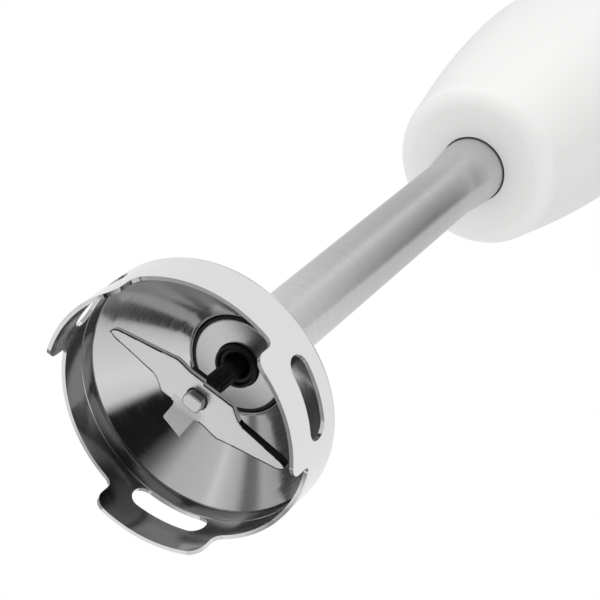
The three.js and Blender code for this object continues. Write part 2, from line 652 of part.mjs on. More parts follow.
// One wing, tip towards +X: a straight back edge at -Y and a bellied cutting edge at +Y.
function bladeOutline() {
  const [hub, half] = [BLADE_HUB_LENGTH / 2, BLADE_HUB_WIDTH / 2];
  const shape = new THREE.Shape();
  for (const side of [1, -1]) {
    const at = (x, y) => [side * x, side * y];
    if (side === 1) shape.moveTo(...at(hub, -half));
    else shape.lineTo(...at(hub, -half));
    shape.quadraticCurveTo(...at(hub + 1.2, -half * 0.55), ...at(hub + 4.2, -2));
    shape.lineTo(...at(BLADE_REACH - 0.3, -0.9));
    shape.lineTo(...at(BLADE_REACH, BLADE_TIP_WIDTH - 1));
    shape.lineTo(...at(BLADE_REACH - 1.8, BLADE_TIP_WIDTH + 1.5));
    shape.quadraticCurveTo(...at(hub + 7, BLADE_BELLY - 1.9), ...at(hub + 1.8, BLADE_BELLY - 0.2));
    shape.quadraticCurveTo(...at(hub - 0.5, BLADE_BELLY + 0.2), ...at(hub - 2.5, BLADE_BELLY - 0.6));
    shape.lineTo(...at(TAB_WIDTH / 2 + 0.6, half + 0.8));
    shape.lineTo(...at(-hub + 0.6, half + 0.1));
  }
  return shape;
}

function blade() {
  const plate = raised(bladeOutline(), BLADE_FACE, BLADE_TOP, 5);
  const tab = block([-TAB_WIDTH / 2, 0, -BLADE_THICKNESS], [TAB_WIDTH / 2, TAB_LENGTH, 0])
    .rotate([-TAB_BEND, 0, 0])
    .translate([TAB_OFFSET, BLADE_HUB_WIDTH / 2 - 0.2, BLADE_TOP]);
  const flat = join(plate, tab).rotate([0, 0, BLADE_ANGLE]);
  return cut(flat, doubleD(HEAD_LENGTH + 2 * GAP, HEAD_WIDTH + 2 * GAP, BLADE_FACE - 9, BLADE_TOP + 9));
}

const shaftClip = () => cut(
  ring(SHAFT_RADIUS - 0.6 + GAP, SHAFT_RADIUS + 1.7, SHAFT_CLIP_LEVEL - 0.4, SHAFT_CLIP_LEVEL + 0.4, SMALL),
  block([0, -1.2, SHAFT_CLIP_LEVEL - 1], [9, 1.2, SHAFT_CLIP_LEVEL + 1]),
);

const footCoupling = () => cut(
  join(cylinder(5, FOOT_COUPLING_BASE, DOG_BASE), raised(cross(DOG_LENGTH, DOG_WIDTH), DOG_BASE, DOG_TOP)),
  cylinder(SHAFT_RADIUS + GAP, FOOT_COUPLING_BASE - 1, SHAFT_TOP + GAP, SMALL),
);

// ---- Motor rotor ----

const dogPocket = cross(DOG_LENGTH + 2 * SLIDING_GAP, DOG_WIDTH + 2 * SLIDING_GAP);
const motorCoupling = () => cut(
  cylinder(COUPLING_RADIUS, MOTOR_COUPLING_BASE, MOTOR_COUPLING_TOP),
  raised(dogPocket, MOTOR_COUPLING_BASE - 1, DOG_TOP + 1),
  cylinder(MOTOR_SHAFT_RADIUS + GAP, MOTOR_SHAFT_BASE - GAP, MOTOR_COUPLING_TOP + 1, SMALL),
);

function coolingFan() {
  const base = FAN_TOP - FAN_HEIGHT;
  const hub = cylinder(7, base, FAN_TOP);
  const disc = cylinder(FAN_RADIUS, FAN_TOP - 1.5, FAN_TOP);
  const blades = Array.from({ length: FAN_BLADES }, (_, i) =>
    block([6, -0.6, base], [FAN_RADIUS - 0.5, 0.6, FAN_TOP - 1]).rotate([0, 0, (360 * i) / FAN_BLADES]));
  return cut(join(hub, disc, ...blades), cylinder(MOTOR_SHAFT_RADIUS + GAP, base - 1, FAN_TOP + 1, SMALL));
}

const onShaft = (shape) =>
  cut(shape, cylinder(MOTOR_SHAFT_RADIUS + GAP, MOTOR_SHAFT_BASE, UPPER_BRACKET_BASE + 20, SMALL));

const endTurns = (low, high) => {
  const bevel = 1.5;
  return ring(MOTOR_SHAFT_RADIUS + 1, ROTOR_RADIUS - 2, low, high).intersect(turned([
    [0, low], [ROTOR_RADIUS - 2 - bevel, low], [ROTOR_RADIUS - 2, low + bevel],
    [ROTOR_RADIUS - 2, high - bevel], [ROTOR_RADIUS - 2 - bevel, high], [0, high],
  ]));
};

// ---- Motor frame ----

const sector = (inner, outer, low, high, span) => {
  const shape = new THREE.Shape();
  const half = radians(span) / 2;
  shape.absarc(0, 0, outer, -half, half, false);
  shape.absarc(0, 0, inner, half, -half, true);
  return raised(shape, low, high, Math.ceil(span / 16));
};

function statorCore() {
  const bore = ROTOR_RADIUS + AIR_GAP;
  const yoke = ring(STATOR_RADIUS - STATOR_YOKE, STATOR_RADIUS, STATOR_BASE, STATOR_TOP);
  const poles = [0, 180].map((angle) => join(
    sector(bore, bore + POLE_SHOE, STATOR_BASE, STATOR_TOP, POLE_SPAN),
    block([bore + POLE_SHOE / 2, -POLE_NECK_WIDTH / 2, STATOR_BASE],
      [STATOR_RADIUS - STATOR_YOKE / 2, POLE_NECK_WIDTH / 2, STATOR_TOP]),
  ).rotate([0, 0, angle]));
  return join(yoke, ...poles);
}

function fieldCoil(angle) {
  const inner = ROTOR_RADIUS + AIR_GAP + POLE_SHOE + GAP;
  const outer = STATOR_RADIUS - STATOR_YOKE - 2 * GAP;
  const half = POLE_NECK_WIDTH / 2 + GAP;
  return cut(
    sector(inner, outer, STATOR_BASE - COIL_OVERHANG, STATOR_TOP + COIL_OVERHANG, POLE_SPAN),
    block([0, -half, STATOR_BASE - GAP], [STATOR_RADIUS, half, STATOR_TOP + GAP]),
  ).rotate([0, 0, angle]);
}

const ballBearing = (base) => cut(
  ring(MOTOR_SHAFT_RADIUS + RUNNING_GAP, BALL_BEARING_RADIUS, base, base + BALL_BEARING_WIDTH),
  ring(5.2, 7.4, base + BALL_BEARING_WIDTH - 0.5, base + BALL_BEARING_WIDTH + 1),
);

function lowerBracket() {
  const seat = BALL_BEARING_RADIUS + GAP;
  const base = LOWER_BRACKET_BASE;
  const plateTop = base + BRACKET_THICKNESS;
  const cupTop = base + BALL_BEARING_WIDTH + 2;
  const body = turned([
    [MOTOR_SHAFT_RADIUS + 1.5, base], [BRACKET_RADIUS, base], [BRACKET_RADIUS, STATOR_BASE - GAP],
    [BRACKET_RADIUS - 2.5, STATOR_BASE - GAP], [BRACKET_RADIUS - 2.5, plateTop], [seat + 2, plateTop],
    [seat + 2, cupTop], [seat, cupTop], [seat, base + 1.5], [MOTOR_SHAFT_RADIUS + 1.5, base + 1.5],
  ]);
  const windows = [45, 135, 225, 315].map((angle) =>
    sector(seat + 3.5, BRACKET_RADIUS - 4, base - 1, plateTop + 0.5, 46).rotate([0, 0, angle]));
  return cut(body, ...windows);
}

function upperBracket() {
  const seat = BALL_BEARING_RADIUS + GAP;
  const base = UPPER_BRACKET_BASE;
  const top = base + BALL_BEARING_WIDTH + 2;
  const reach = STATOR_RADIUS - 1;
  const bar = block([-reach, -6, base], [reach, 6, top - 2]);
  const cup = cylinder(seat + 2, base, top);
  const legs = [-1, 1].map((side) => block(
    [Math.min(side * (reach - 3), side * reach), -6, STATOR_TOP + GAP],
    [Math.max(side * (reach - 3), side * reach), 6, base + 1],
  ));
  const hollow = cylinder(seat, base - 1, top - 1.2);
  return cut(join(bar, cup, ...legs), hollow, cylinder(MOTOR_SHAFT_RADIUS + 1.5, base, top + 1, SMALL));
}

const alongY = (length, width, height, start, side) => {
  const [near, far] = [side * start, side * (start + length)];
  return block(
    [-width / 2, Math.min(near, far), BRUSH_LEVEL - height / 2],
    [width / 2, Math.max(near, far), BRUSH_LEVEL + height / 2],
  );
};

function brushHolder(side) {
  const start = COMMUTATOR_RADIUS + 1;
  const [width, height] = [BRUSH_THICKNESS + 2 * GAP, BRUSH_HEIGHT + 2 * GAP];
  return cut(
    alongY(HOLDER_LENGTH, width + 2 * HOLDER_WALL, height + 2 * HOLDER_WALL, start, side),
    alongY(HOLDER_LENGTH - 1, width, height, start - 0.5, side),
  );
}

const brushStart = COMMUTATOR_RADIUS + GAP;

const carbonBrush = (side) => cut(
  alongY(BRUSH_LENGTH, BRUSH_THICKNESS, BRUSH_HEIGHT, brushStart, side),
  cylinder(COMMUTATOR_RADIUS + RUNNING_GAP + 0.1, COMMUTATOR_BASE, COMMUTATOR_TOP),
);

// A coil spring along its own Z, made of one wire of square section.
function coilSpring(radius, wire, length, turns) {
  const steps = turns * 8;
  const points = Array.from({ length: steps + 1 }, (_, i) => {
    const angle = (2 * Math.PI * turns * i) / steps;
    const rise = wire / 2 + ((length - wire) * i) / steps;
    const middle = radius - wire / 2;
    return new THREE.Vector3(middle * Math.cos(angle), middle * Math.sin(angle), rise);
  });
  const half = wire / 2;
  const section = new THREE.Shape([[-half, -half], [half, -half], [half, half], [-half, half]]
    .map(([x, y]) => new THREE.Vector2(x, y)));
  return solid(new THREE.ExtrudeGeometry(section, {
    steps,
    bevelEnabled: false,
    extrudePath: new THREE.CatmullRomCurve3(points),
  }));
}

function brushSpring(side) {
  const start = brushStart + BRUSH_LENGTH + GAP;
  const end = COMMUTATOR_RADIUS + HOLDER_LENGTH - 0.5 - GAP;
  return coilSpring(2.3, 0.5, end - start, 3)
    .translate([0, 0, start])
    .rotate([side > 0 ? -90 : 90, 0, 0])
    .translate([0, 0, BRUSH_LEVEL]);
}

// ---- Housing ----

function noseCone() {
  const inside = nosePoints(-SHELL_WALL).filter(([, z]) => z > FACE_HEIGHT + SHELL_WALL + 1);
  const floor = FACE_HEIGHT + SHELL_WALL;
  const form = turned([
    [SOCKET_RADIUS, FACE_HEIGHT], ...faceFillet(0), ...nosePoints(0),
    [noseRadius(NOSE_TOP) - SHELL_WALL, NOSE_TOP], ...inside.reverse().slice(1),
    [inside[inside.length - 1][0] - 1, floor], [BOSS_OUTER, floor], [BOSS_OUTER, BOSS_TOP],
    [BOSS_INNER, BOSS_TOP], [BOSS_INNER, floor], [SOCKET_RADIUS, floor],
  ], BODY_FACETS);
  const catchWindow = block(
    [0, -CATCH_WIDTH / 2 - SLIDING_GAP, LATCH_LEVEL - LATCH_THICKNESS / 2 - SLIDING_GAP],
    [BOSS_OUTER + 1, CATCH_WIDTH / 2 + SLIDING_GAP, LATCH_LEVEL + LATCH_THICKNESS / 2 + SLIDING_GAP],
  );
  const buttonHole = rodX(
    RELEASE_RADIUS + SLIDING_GAP, -BODY_WIDEST - 5, -BOSS_OUTER - 3, 0, LATCH_LEVEL, ROUND);
  return cut(form, catchWindow, buttonHole);
}

const socketLiner = () => cut(
  ring(SOCKET_RADIUS, LINER_OUTER, LINER_BASE, LINER_BASE + LINER_LENGTH),
  block(
    [0, -CATCH_WIDTH / 2 - SLIDING_GAP, LATCH_LEVEL - LATCH_THICKNESS / 2 - SLIDING_GAP],
    [LINER_OUTER + 1, CATCH_WIDTH / 2 + SLIDING_GAP, LATCH_LEVEL + LATCH_THICKNESS / 2 + SLIDING_GAP],
  ),
);

// A ring round the socket: pushed at -X, it draws its catch at +X out of the plug's groove.
function releaseLatch() {
  const [low, high] = [LATCH_LEVEL - LATCH_THICKNESS / 2, LATCH_LEVEL + LATCH_THICKNESS / 2];
  const inner = BOSS_OUTER + LATCH_TRAVEL / 2 + 2 * SLIDING_GAP;
  const outer = inner + LATCH_RING_WALL;
  const middle = -LATCH_TRAVEL / 2;
  const frame = ring(inner, outer, low, high).translate([middle, 0, 0]);
  const latchCatch = block([CATCH_TIP, -CATCH_WIDTH / 2, low], [middle + inner + 1, CATCH_WIDTH / 2, high]);
  const stem = block([-RELEASE_BACK + GAP, -4, low], [middle - inner - 1, 4, high]);
  return join(frame, latchCatch, stem);
}

const releaseSkin = () => bodyForm(RELEASE_PROUD);

const releaseButton = () => rodX(RELEASE_RADIUS, -BODY_WIDEST - 5, -RELEASE_BACK, 0, LATCH_LEVEL, ROUND)
  .intersect(releaseSkin());

function releaseSpring() {
  const length = RELEASE_BACK - BOSS_OUTER - 2 * GAP;
  return coilSpring(SPRING_RADIUS, SPRING_WIRE, length, SPRING_TURNS)
    .rotate([0, -90, 0])
    .translate([-BOSS_OUTER - GAP, 0, LATCH_LEVEL + LATCH_THICKNESS / 2 + SPRING_RADIUS + 0.6]);
}

function bodyShell() {
  const outside = shellPoints(0).map(([r, z], i) => [r, i === 0 ? SHELL_BASE : z]);
  const inside = shellPoints(-SHELL_WALL).map(([r, z], i) => [r, i === 0 ? SHELL_BASE : z]);
  return turned([...outside, ...inside.reverse()], BODY_FACETS);
}

const screwPlaces = [-1, 1].map((side) => [side * SCREW_OFFSET, SCREW_HEIGHT]);

function halfShell(side) {
  const [near, far] = side > 0 ? [GAP / 2, 99] : [-99, -GAP / 2];
  const half = block([near, -99, 0], [far, 99, 999]);
  const within = bodyForm(-SHELL_WALL / 2);
  const bosses = screwPlaces.map(([y, z]) => rodX(SCREW_HEAD_RADIUS + 1.2, -30, 30, y, z).intersect(within));
  const pilots = screwPlaces.map(([y, z]) => rodX(SCREW_RADIUS + GAP, -30, 9, y, z));
  const heads = screwPlaces.map(([y, z]) =>
    rodX(SCREW_HEAD_RADIUS + GAP, -BODY_WIDEST - 7, -SCREW_HEAD_FACE + SCREW_HEAD_HEIGHT + GAP, y, z));
  return cut(join(bodyShell(), ...bosses).intersect(half), ...pilots, ...heads);
}

const shellScrew = ([y, z]) => join(
  rodX(SCREW_HEAD_RADIUS, -SCREW_HEAD_FACE, -SCREW_HEAD_FACE + SCREW_HEAD_HEIGHT, y, z),
  rodX(SCREW_RADIUS, -SCREW_HEAD_FACE + 1, -SCREW_HEAD_FACE + SCREW_HEAD_HEIGHT + SCREW_LENGTH, y, z, 12),
);

const bezelShape = (extra) => roundedRectangle(
  BEZEL_WIDTH + 2 * extra, BEZEL_LENGTH + 2 * extra, BEZEL_CORNER + extra, 0, (BEZEL_LOW + BEZEL_HIGH) / 2);

const buttonShape = (height, length, extra) => roundedRectangle(
  BUTTON_WIDTH + 2 * extra, length + 2 * extra, BUTTON_WIDTH / 2 + extra - 0.01, 0, height);

function buttonBezel() {
  const skin = bodyForm(BEZEL_PROUD).subtract(bodyForm(-SHELL_WALL));
  return cut(
    alongX(bezelShape(0), -BODY_WIDEST - 2, 0).intersect(skin),
    alongX(buttonShape(POWER_HEIGHT, POWER_LENGTH, SLIDING_GAP), -BODY_WIDEST - 3, 0),
    alongX(buttonShape(TURBO_HEIGHT, TURBO_LENGTH, SLIDING_GAP), -BODY_WIDEST - 3, 0),
  );
}

const pushButton = (height, length) =>
  alongX(buttonShape(height, length, 0), -BODY_WIDEST - 2, -BUTTON_BACK).intersect(bodyForm(BUTTON_PROUD));

const plunger = (height) =>
  rodX(PLUNGER_RADIUS, -BUTTON_BACK + GAP, -SWITCH_FRONT + BUTTON_TRAVEL, 0, height, 12);

function microswitch(height) {
  const [depth, width, tall] = SWITCH_SIZE;
  const face = -SWITCH_FRONT;
  return cut(
    block([face, -width / 2, height - tall / 2], [face + depth, width / 2, height + tall / 2]),
    rodX(PLUNGER_RADIUS + SLIDING_GAP, face - 1, face + 2 * BUTTON_TRAVEL + 0.5, 0, height, SMALL),
  );
}

const circuitBoard = () => block(
  [-SWITCH_BACK + GAP, -BOARD_WIDTH / 2, BOARD_LOW],
  [-SWITCH_BACK + GAP + BOARD_THICKNESS, BOARD_WIDTH / 2, BOARD_LOW + BOARD_LENGTH],
);

function topCap() {
  const skin = [
    [SHELL_TOP_RADIUS, CAP_BASE], [SHELL_TOP_RADIUS, CAP_BASE + 4], [SHELL_TOP_RADIUS - 0.9, CAP_BASE + 9],
    [SHELL_TOP_RADIUS - 2.8, CAP_BASE + 13], [SHELL_TOP_RADIUS - 5.6, CAP_TOP - 1.4],
    [CAP_FLAT_RADIUS, CAP_TOP],
  ];
  const recess = DIAL_RADIUS + SLIDING_GAP;
  const bore = SPINDLE_OF_DIAL_RADIUS + SLIDING_GAP;
  const under = RECESS_FLOOR - SHELL_WALL;
  const form = turned([
    ...skin, [recess, CAP_TOP], [recess, RECESS_FLOOR], [bore, RECESS_FLOOR], [bore, under],
    [CAP_FLAT_RADIUS - 1, under], [CAP_LIP_INNER - 2, CAP_BASE + 8.5], [CAP_LIP_INNER, CAP_BASE + 4],
    [CAP_LIP_INNER, CAP_BASE - SPIGOT_LENGTH], [CAP_LIP_OUTER, CAP_BASE - SPIGOT_LENGTH],
    [CAP_LIP_OUTER, CAP_BASE],
  ], BODY_FACETS);
  const hole = cylinder(GLAND_RADIUS + GAP, CAP_BASE, CAP_TOP + 9, SMALL * 2).translate([GLAND_OFFSET, 0, 0]);
  return cut(form, hole);
}

function speedDial() {
  const base = RECESS_FLOOR + SLIDING_GAP;
  const bottom = cylinder(DIAL_RADIUS, base, CAP_TOP, DIAL_FLUTES);
  const top = base + DIAL_HEIGHT;
  const grip = raised(toothed(DIAL_RADIUS - 0.6, DIAL_RADIUS, DIAL_FLUTES, 0.6), CAP_TOP - 1, top);
  const bore = cylinder(SPINDLE_OF_DIAL_RADIUS + GAP, base - 1, top - 1.5, SMALL);
  const pointer = block([-DIAL_RADIUS + 1.2, -0.6, top - 0.6], [-DIAL_RADIUS + 6, 0.6, top + 1]);
  return cut(join(bottom, grip), bore, pointer);
}

const dialSpindle = () =>
  cylinder(SPINDLE_OF_DIAL_RADIUS, REGULATOR_TOP - 5, RECESS_FLOOR + DIAL_HEIGHT - 1.5, SMALL);

const speedRegulator = () => cut(
  cylinder(REGULATOR_RADIUS, REGULATOR_TOP - REGULATOR_HEIGHT, REGULATOR_TOP),
  cylinder(SPINDLE_OF_DIAL_RADIUS + GAP, REGULATOR_TOP - 6, REGULATOR_TOP + 1, SMALL),
);

function cordGland() {
  const flange = 1.5;
  const top = CAP_TOP + GLAND_PROUD;
  return turned([
    [GLAND_BORE, CAP_BASE + 4], [GLAND_RADIUS, CAP_BASE + 4], [GLAND_RADIUS, CAP_TOP],
    [GLAND_RADIUS - 0.3, top - flange], [GLAND_RADIUS - 1.2, top], [GLAND_BORE, top],
  ], SMALL * 2).translate([GLAND_OFFSET, 0, 0]);
}

function cordClamp() {
  const [depth, width, tall] = CLAMP_SIZE;
  const low = CAP_BASE - SPIGOT_LENGTH - 1;
  return cut(
    block([GLAND_OFFSET - depth / 2, -width / 2, low], [CAP_LIP_INNER - 1, width / 2, low + tall]),
    cylinder(GLAND_BORE, low - 1, low + tall + 1, SMALL).translate([GLAND_OFFSET, 0, 0]),
  );
}

// ---- Assembly ----

part("blade_guard", "polished_steel", bladeGuard());
part("bearing_cap", "brushed_steel", bearingCap());
part("lip_seal", "black_rubber", lipSeal());
part("lower_bush", "sintered_bronze", bush(LOWER_BUSH_BASE, LOWER_BUSH_TOP));
part("shaft_tube", "brushed_steel", shaftTube());
part("shaft_guide", "grey_plastic", shaftGuide());
part("foot_plug", "grey_plastic", footPlug());
part("plug_seal", "black_rubber", roundRing(PLUG_RADIUS - 0.3, 0.85, RING_LEVEL));
part("upper_bush", "sintered_bronze", bush(UPPER_BUSH_BASE, UPPER_BUSH_TOP));

part("drive_shaft", "shaft_steel", driveShaft());
part("blade_carrier", "black_plastic", bladeCarrier());
part("blade", "ground_steel", blade());
part("shaft_clip", "spring_steel", shaftClip());
part("foot_coupling", "black_plastic", footCoupling());

part("motor_coupling", "black_plastic", motorCoupling());
part("armature_shaft", "shaft_steel",
  cylinder(MOTOR_SHAFT_RADIUS, MOTOR_SHAFT_BASE, UPPER_BEARING_BASE + BALL_BEARING_WIDTH));
part("cooling_fan", "black_plastic", coolingFan());
part("rotor_core", "lamination",
  onShaft(raised(toothed(ROTOR_RADIUS - 5, ROTOR_RADIUS, ROTOR_SLOTS, 0.72), STATOR_BASE, STATOR_TOP)));
part("rotor_coil_lower", "copper", endTurns(STATOR_BASE - COIL_OVERHANG + 1, STATOR_BASE - GAP));
part("rotor_coil_upper", "copper", endTurns(STATOR_TOP + GAP, STATOR_TOP + COIL_OVERHANG - 0.5));
part("commutator", "copper", onShaft(raised(
  toothed(COMMUTATOR_RADIUS - 0.6, COMMUTATOR_RADIUS, COMMUTATOR_BARS, 0.8),
  COMMUTATOR_BASE, COMMUTATOR_TOP)));

part("lower_bracket", "lamination", lowerBracket());
part("lower_ball_bearing", "shaft_steel", ballBearing(LOWER_BRACKET_BASE + 1.5 + GAP));
part("stator_core", "lamination", statorCore());
part("field_coil_rear", "copper", fieldCoil(180));
part("field_coil_front", "copper", fieldCoil(0));
part("upper_bracket", "lamination", upperBracket());
part("upper_ball_bearing", "shaft_steel", ballBearing(UPPER_BEARING_BASE));
for (const [name, side] of [["left", -1], ["right", 1]]) {
  part(`brush_holder_${name}`, "sintered_bronze", brushHolder(side));
  part(`carbon_brush_${name}`, "carbon", carbonBrush(side));
  part(`brush_spring_${name}`, "spring_steel", brushSpring(side));
}
part("motor_mount_lower", "black_rubber", ring(BRACKET_RADIUS + GAP,
  shellPoints(-SHELL_WALL)[1][0] - GAP - 0.2, LOWER_BRACKET_BASE + 2, STATOR_BASE - 3));
part("motor_mount_upper", "black_rubber", ring(STATOR_RADIUS + GAP,
  (BODY_WIDEST + GRIP_RADIUS) / 2 - SHELL_WALL - 1, STATOR_TOP - 9, STATOR_TOP - 3));

part("nose_cone", "white_plastic", noseCone());
part("socket_liner", "black_plastic", socketLiner());
part("front_shell", "white_plastic", halfShell(1));
part("rear_shell", "white_plastic", cut(halfShell(-1), alongX(bezelShape(GAP), -BODY_WIDEST - 5, -15)));
screwPlaces.forEach((place, i) => part(`shell_screw_${i + 1}`, "shaft_steel", shellScrew(place)));
part("top_cap", "white_plastic", topCap());
part("cord_gland", "grey_plastic", cordGland());
part("cord_clamp", "grey_plastic", cordClamp());

part("release_button", "grey_plastic", releaseButton());
part("release_latch", "spring_steel", releaseLatch());
part("release_spring", "spring_steel", releaseSpring());
part("button_bezel", "grey_plastic", buttonBezel());
part("power_button", "white_plastic", pushButton(POWER_HEIGHT, POWER_LENGTH));
part("power_plunger", "black_plastic", plunger(POWER_HEIGHT));
part("power_switch", "black_plastic", microswitch(POWER_HEIGHT));
part("turbo_button", "white_plastic", pushButton(TURBO_HEIGHT, TURBO_LENGTH));
part("turbo_plunger", "black_plastic", plunger(TURBO_HEIGHT));
part("turbo_switch", "black_plastic", microswitch(TURBO_HEIGHT));
part("circuit_board", "circuit_board", circuitBoard());
part("speed_dial", "grey_plastic", speedDial());
part("dial_spindle", "black_plastic", dialSpindle());
part("speed_regulator", "black_plastic", speedRegulator());

export default blender;
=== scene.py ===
"""Immersion blender: fine surfaces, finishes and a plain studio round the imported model, as an add-on."""

import math

import bmesh
import bpy
import numpy as np
from mathutils import Matrix, Vector


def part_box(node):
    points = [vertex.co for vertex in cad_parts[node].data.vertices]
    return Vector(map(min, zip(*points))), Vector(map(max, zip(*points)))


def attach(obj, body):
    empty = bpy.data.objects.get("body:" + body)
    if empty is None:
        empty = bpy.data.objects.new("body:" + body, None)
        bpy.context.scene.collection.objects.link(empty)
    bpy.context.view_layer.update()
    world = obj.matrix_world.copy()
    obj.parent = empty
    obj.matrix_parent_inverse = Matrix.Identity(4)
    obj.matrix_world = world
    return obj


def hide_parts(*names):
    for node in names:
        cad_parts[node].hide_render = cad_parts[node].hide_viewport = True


bl_info = {
    "name": "Immersion Blender",
    "version": (1, 0, 0),
    "blender": (4, 5, 0),
    "location": "3D View > Sidebar > Immersion Blender",
    "description": "Builds the visible surfaces, finishes and studio of an immersion blender",
    "category": "Object",
}

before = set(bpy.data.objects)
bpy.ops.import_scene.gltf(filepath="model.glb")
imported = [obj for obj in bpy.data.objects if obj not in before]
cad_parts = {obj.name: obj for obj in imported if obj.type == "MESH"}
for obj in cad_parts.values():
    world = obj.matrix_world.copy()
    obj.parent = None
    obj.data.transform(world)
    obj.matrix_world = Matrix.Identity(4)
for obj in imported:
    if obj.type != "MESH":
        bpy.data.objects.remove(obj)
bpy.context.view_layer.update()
MM = 0.001


def corner(node, end):
    """The lowest (0) or highest (1) corner of a node's box, in millimetres."""
    return np.array(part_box(node)[end]) / MM


GUARD_TOP = corner("blade_guard", 1)[2]
RIM_RADIUS = corner("blade_guard", 1)[0]
CAP_FACE = corner("bearing_cap", 0)[2]
CAP_RADIUS = corner("bearing_cap", 1)[0]
SEAL_FACE = corner("lip_seal", 0)[2]
SEAL_RADIUS = corner("lip_seal", 1)[0]
TUBE_BOTTOM = corner("shaft_tube", 0)[2]
TUBE_TOP = corner("shaft_tube", 1)[2]
FLARE_RADIUS = corner("shaft_tube", 1)[0]
PLUG_BASE = corner("foot_plug", 0)[2]
PLUG_TOP = corner("foot_plug", 1)[2]
BODY_FACE = corner("nose_cone", 0)[2]
NOSE_TOP = corner("nose_cone", 1)[2]
SHELL_BASE = corner("front_shell", 0)[2]
SHELL_TOP = corner("front_shell", 1)[2]
CAP_TOP = corner("top_cap", 1)[2]
CAP_RIM = corner("top_cap", 1)[0]
LATCH_LEVEL = (corner("release_latch", 0)[2] + corner("release_latch", 1)[2]) / 2


# ---- What a user may change ----


class FootSizes(bpy.types.PropertyGroup):
    """Sizes of the blending foot, in millimetres and degrees"""

    lobe_drop: bpy.props.FloatProperty(
        name="Lobe drop", description="How far the lobes reach below the rim, in mm", default=8.1, min=1)
    lobe_span: bpy.props.FloatProperty(
        name="Lobe span", description="Width of one lobe round the rim, in degrees", default=53, min=10)
    lobe_angle: bpy.props.FloatProperty(
        name="First lobe", description="Angle of the first lobe's centre, in degrees", default=28.5)
    lobe_corner: bpy.props.FloatProperty(
        name="Lobe corner", description="Radius of a lobe's lower corners, in mm", default=3.5, min=0.1)
    lobe_fillet: bpy.props.FloatProperty(
        name="Lobe fillet", description="Radius where a lobe meets the rim, in mm", default=2, min=0.1)
    slot_span: bpy.props.FloatProperty(
        name="Slot span", description="Length of one slot round the rim, in degrees", default=36, min=5)
    slot_height: bpy.props.FloatProperty(
        name="Slot height", description="Height of a slot, in mm", default=6.6, min=1)
    sheet: bpy.props.FloatProperty(
        name="Sheet", description="Thickness of the guard's sheet steel, in mm", default=1, min=0.3)
    straight: bpy.props.FloatProperty(
        name="Straight wall", description="Height of the inner wall over the rim, in mm", default=11.3, min=2)
    dome_rise: bpy.props.FloatProperty(
        name="Dome rise", description="Height of the dome up to its middle hole, in mm", default=13.7, min=2)
    hole_radius: bpy.props.FloatProperty(
        name="Dome hole", description="Radius of the dome's middle hole, in mm", default=12.4, min=2)
    neck_radius: bpy.props.FloatProperty(
        name="Neck", description="Outer radius of the guard's neck, in mm", default=9.65, min=2)
    tube_radius: bpy.props.FloatProperty(
        name="Tube", description="Outer radius of the tube, in mm", default=8.45, min=2)


class BladeSizes(bpy.types.PropertyGroup):
    """Sizes of the blade, in millimetres and degrees"""

    angle: bpy.props.FloatProperty(
        name="Blade angle", description="Angle of the blade at rest, in degrees", default=71.8)
    reach: bpy.props.FloatProperty(name="Reach", description="Tip radius, in mm", default=26, min=5)
    thickness: bpy.props.FloatProperty(
        name="Thickness", description="Sheet thickness, in mm", default=1.1, min=0.3)
    grind: bpy.props.FloatProperty(
        name="Grind", description="Width of the ground edge at the tip, in mm", default=1.05, min=0.1)
    hub_length: bpy.props.FloatProperty(
        name="Hub length", description="Length of the wide middle, in mm", default=17, min=5)
    hub_width: bpy.props.FloatProperty(
        name="Hub width", description="Width of the middle, in mm", default=9.4, min=3)
    belly: bpy.props.FloatProperty(name="Belly", description="Widest half-width, in mm", default=6.2, min=2)


class Finishes(bpy.types.PropertyGroup):
    """Colours of the materials"""

    steel: bpy.props.StringProperty(name="Steel", description="Stainless steel, sRGB hex", default="E4E4E4")
    white: bpy.props.StringProperty(name="White", description="Motor body, sRGB hex", default="F3F3F2")
    grey: bpy.props.StringProperty(name="Grey", description="Plug and dial, sRGB hex", default="8C8E91")
    black: bpy.props.StringProperty(name="Black", description="Carrier, sRGB hex", default="141416")


# ---- Meshes ----


def piece(name, body, vertices, faces, *nodes):
    """A mesh object from arrays in millimetres, riding on a body and standing for CAD nodes."""
    mesh = bpy.data.meshes.new(name)
    mesh.from_pydata((np.asarray(vertices) * MM).tolist(), [], np.asarray(faces).tolist())
    mesh.validate()
    mesh.shade_smooth()
    made = bpy.data.objects.new(name, mesh)
    bpy.context.scene.collection.objects.link(made)
    if body:
        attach(made, body)
    if nodes:
        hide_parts(*nodes)
    return made


def grid_faces(rows, columns, wrap_rows=False, wrap_columns=False):
    """Quads of a grid whose vertex (i, j) has index i * columns + j, closed round either way if asked."""
    i = np.arange(rows if wrap_rows else rows - 1)[:, None]
    j = np.arange(columns if wrap_columns else columns - 1)[None, :]
    i_next, j_next = (i + 1) % rows, (j + 1) % columns
    here, there = i * columns, i_next * columns
    return np.stack([here + j, there + j, there + j_next, here + j_next], axis=-1).reshape(-1, 4)


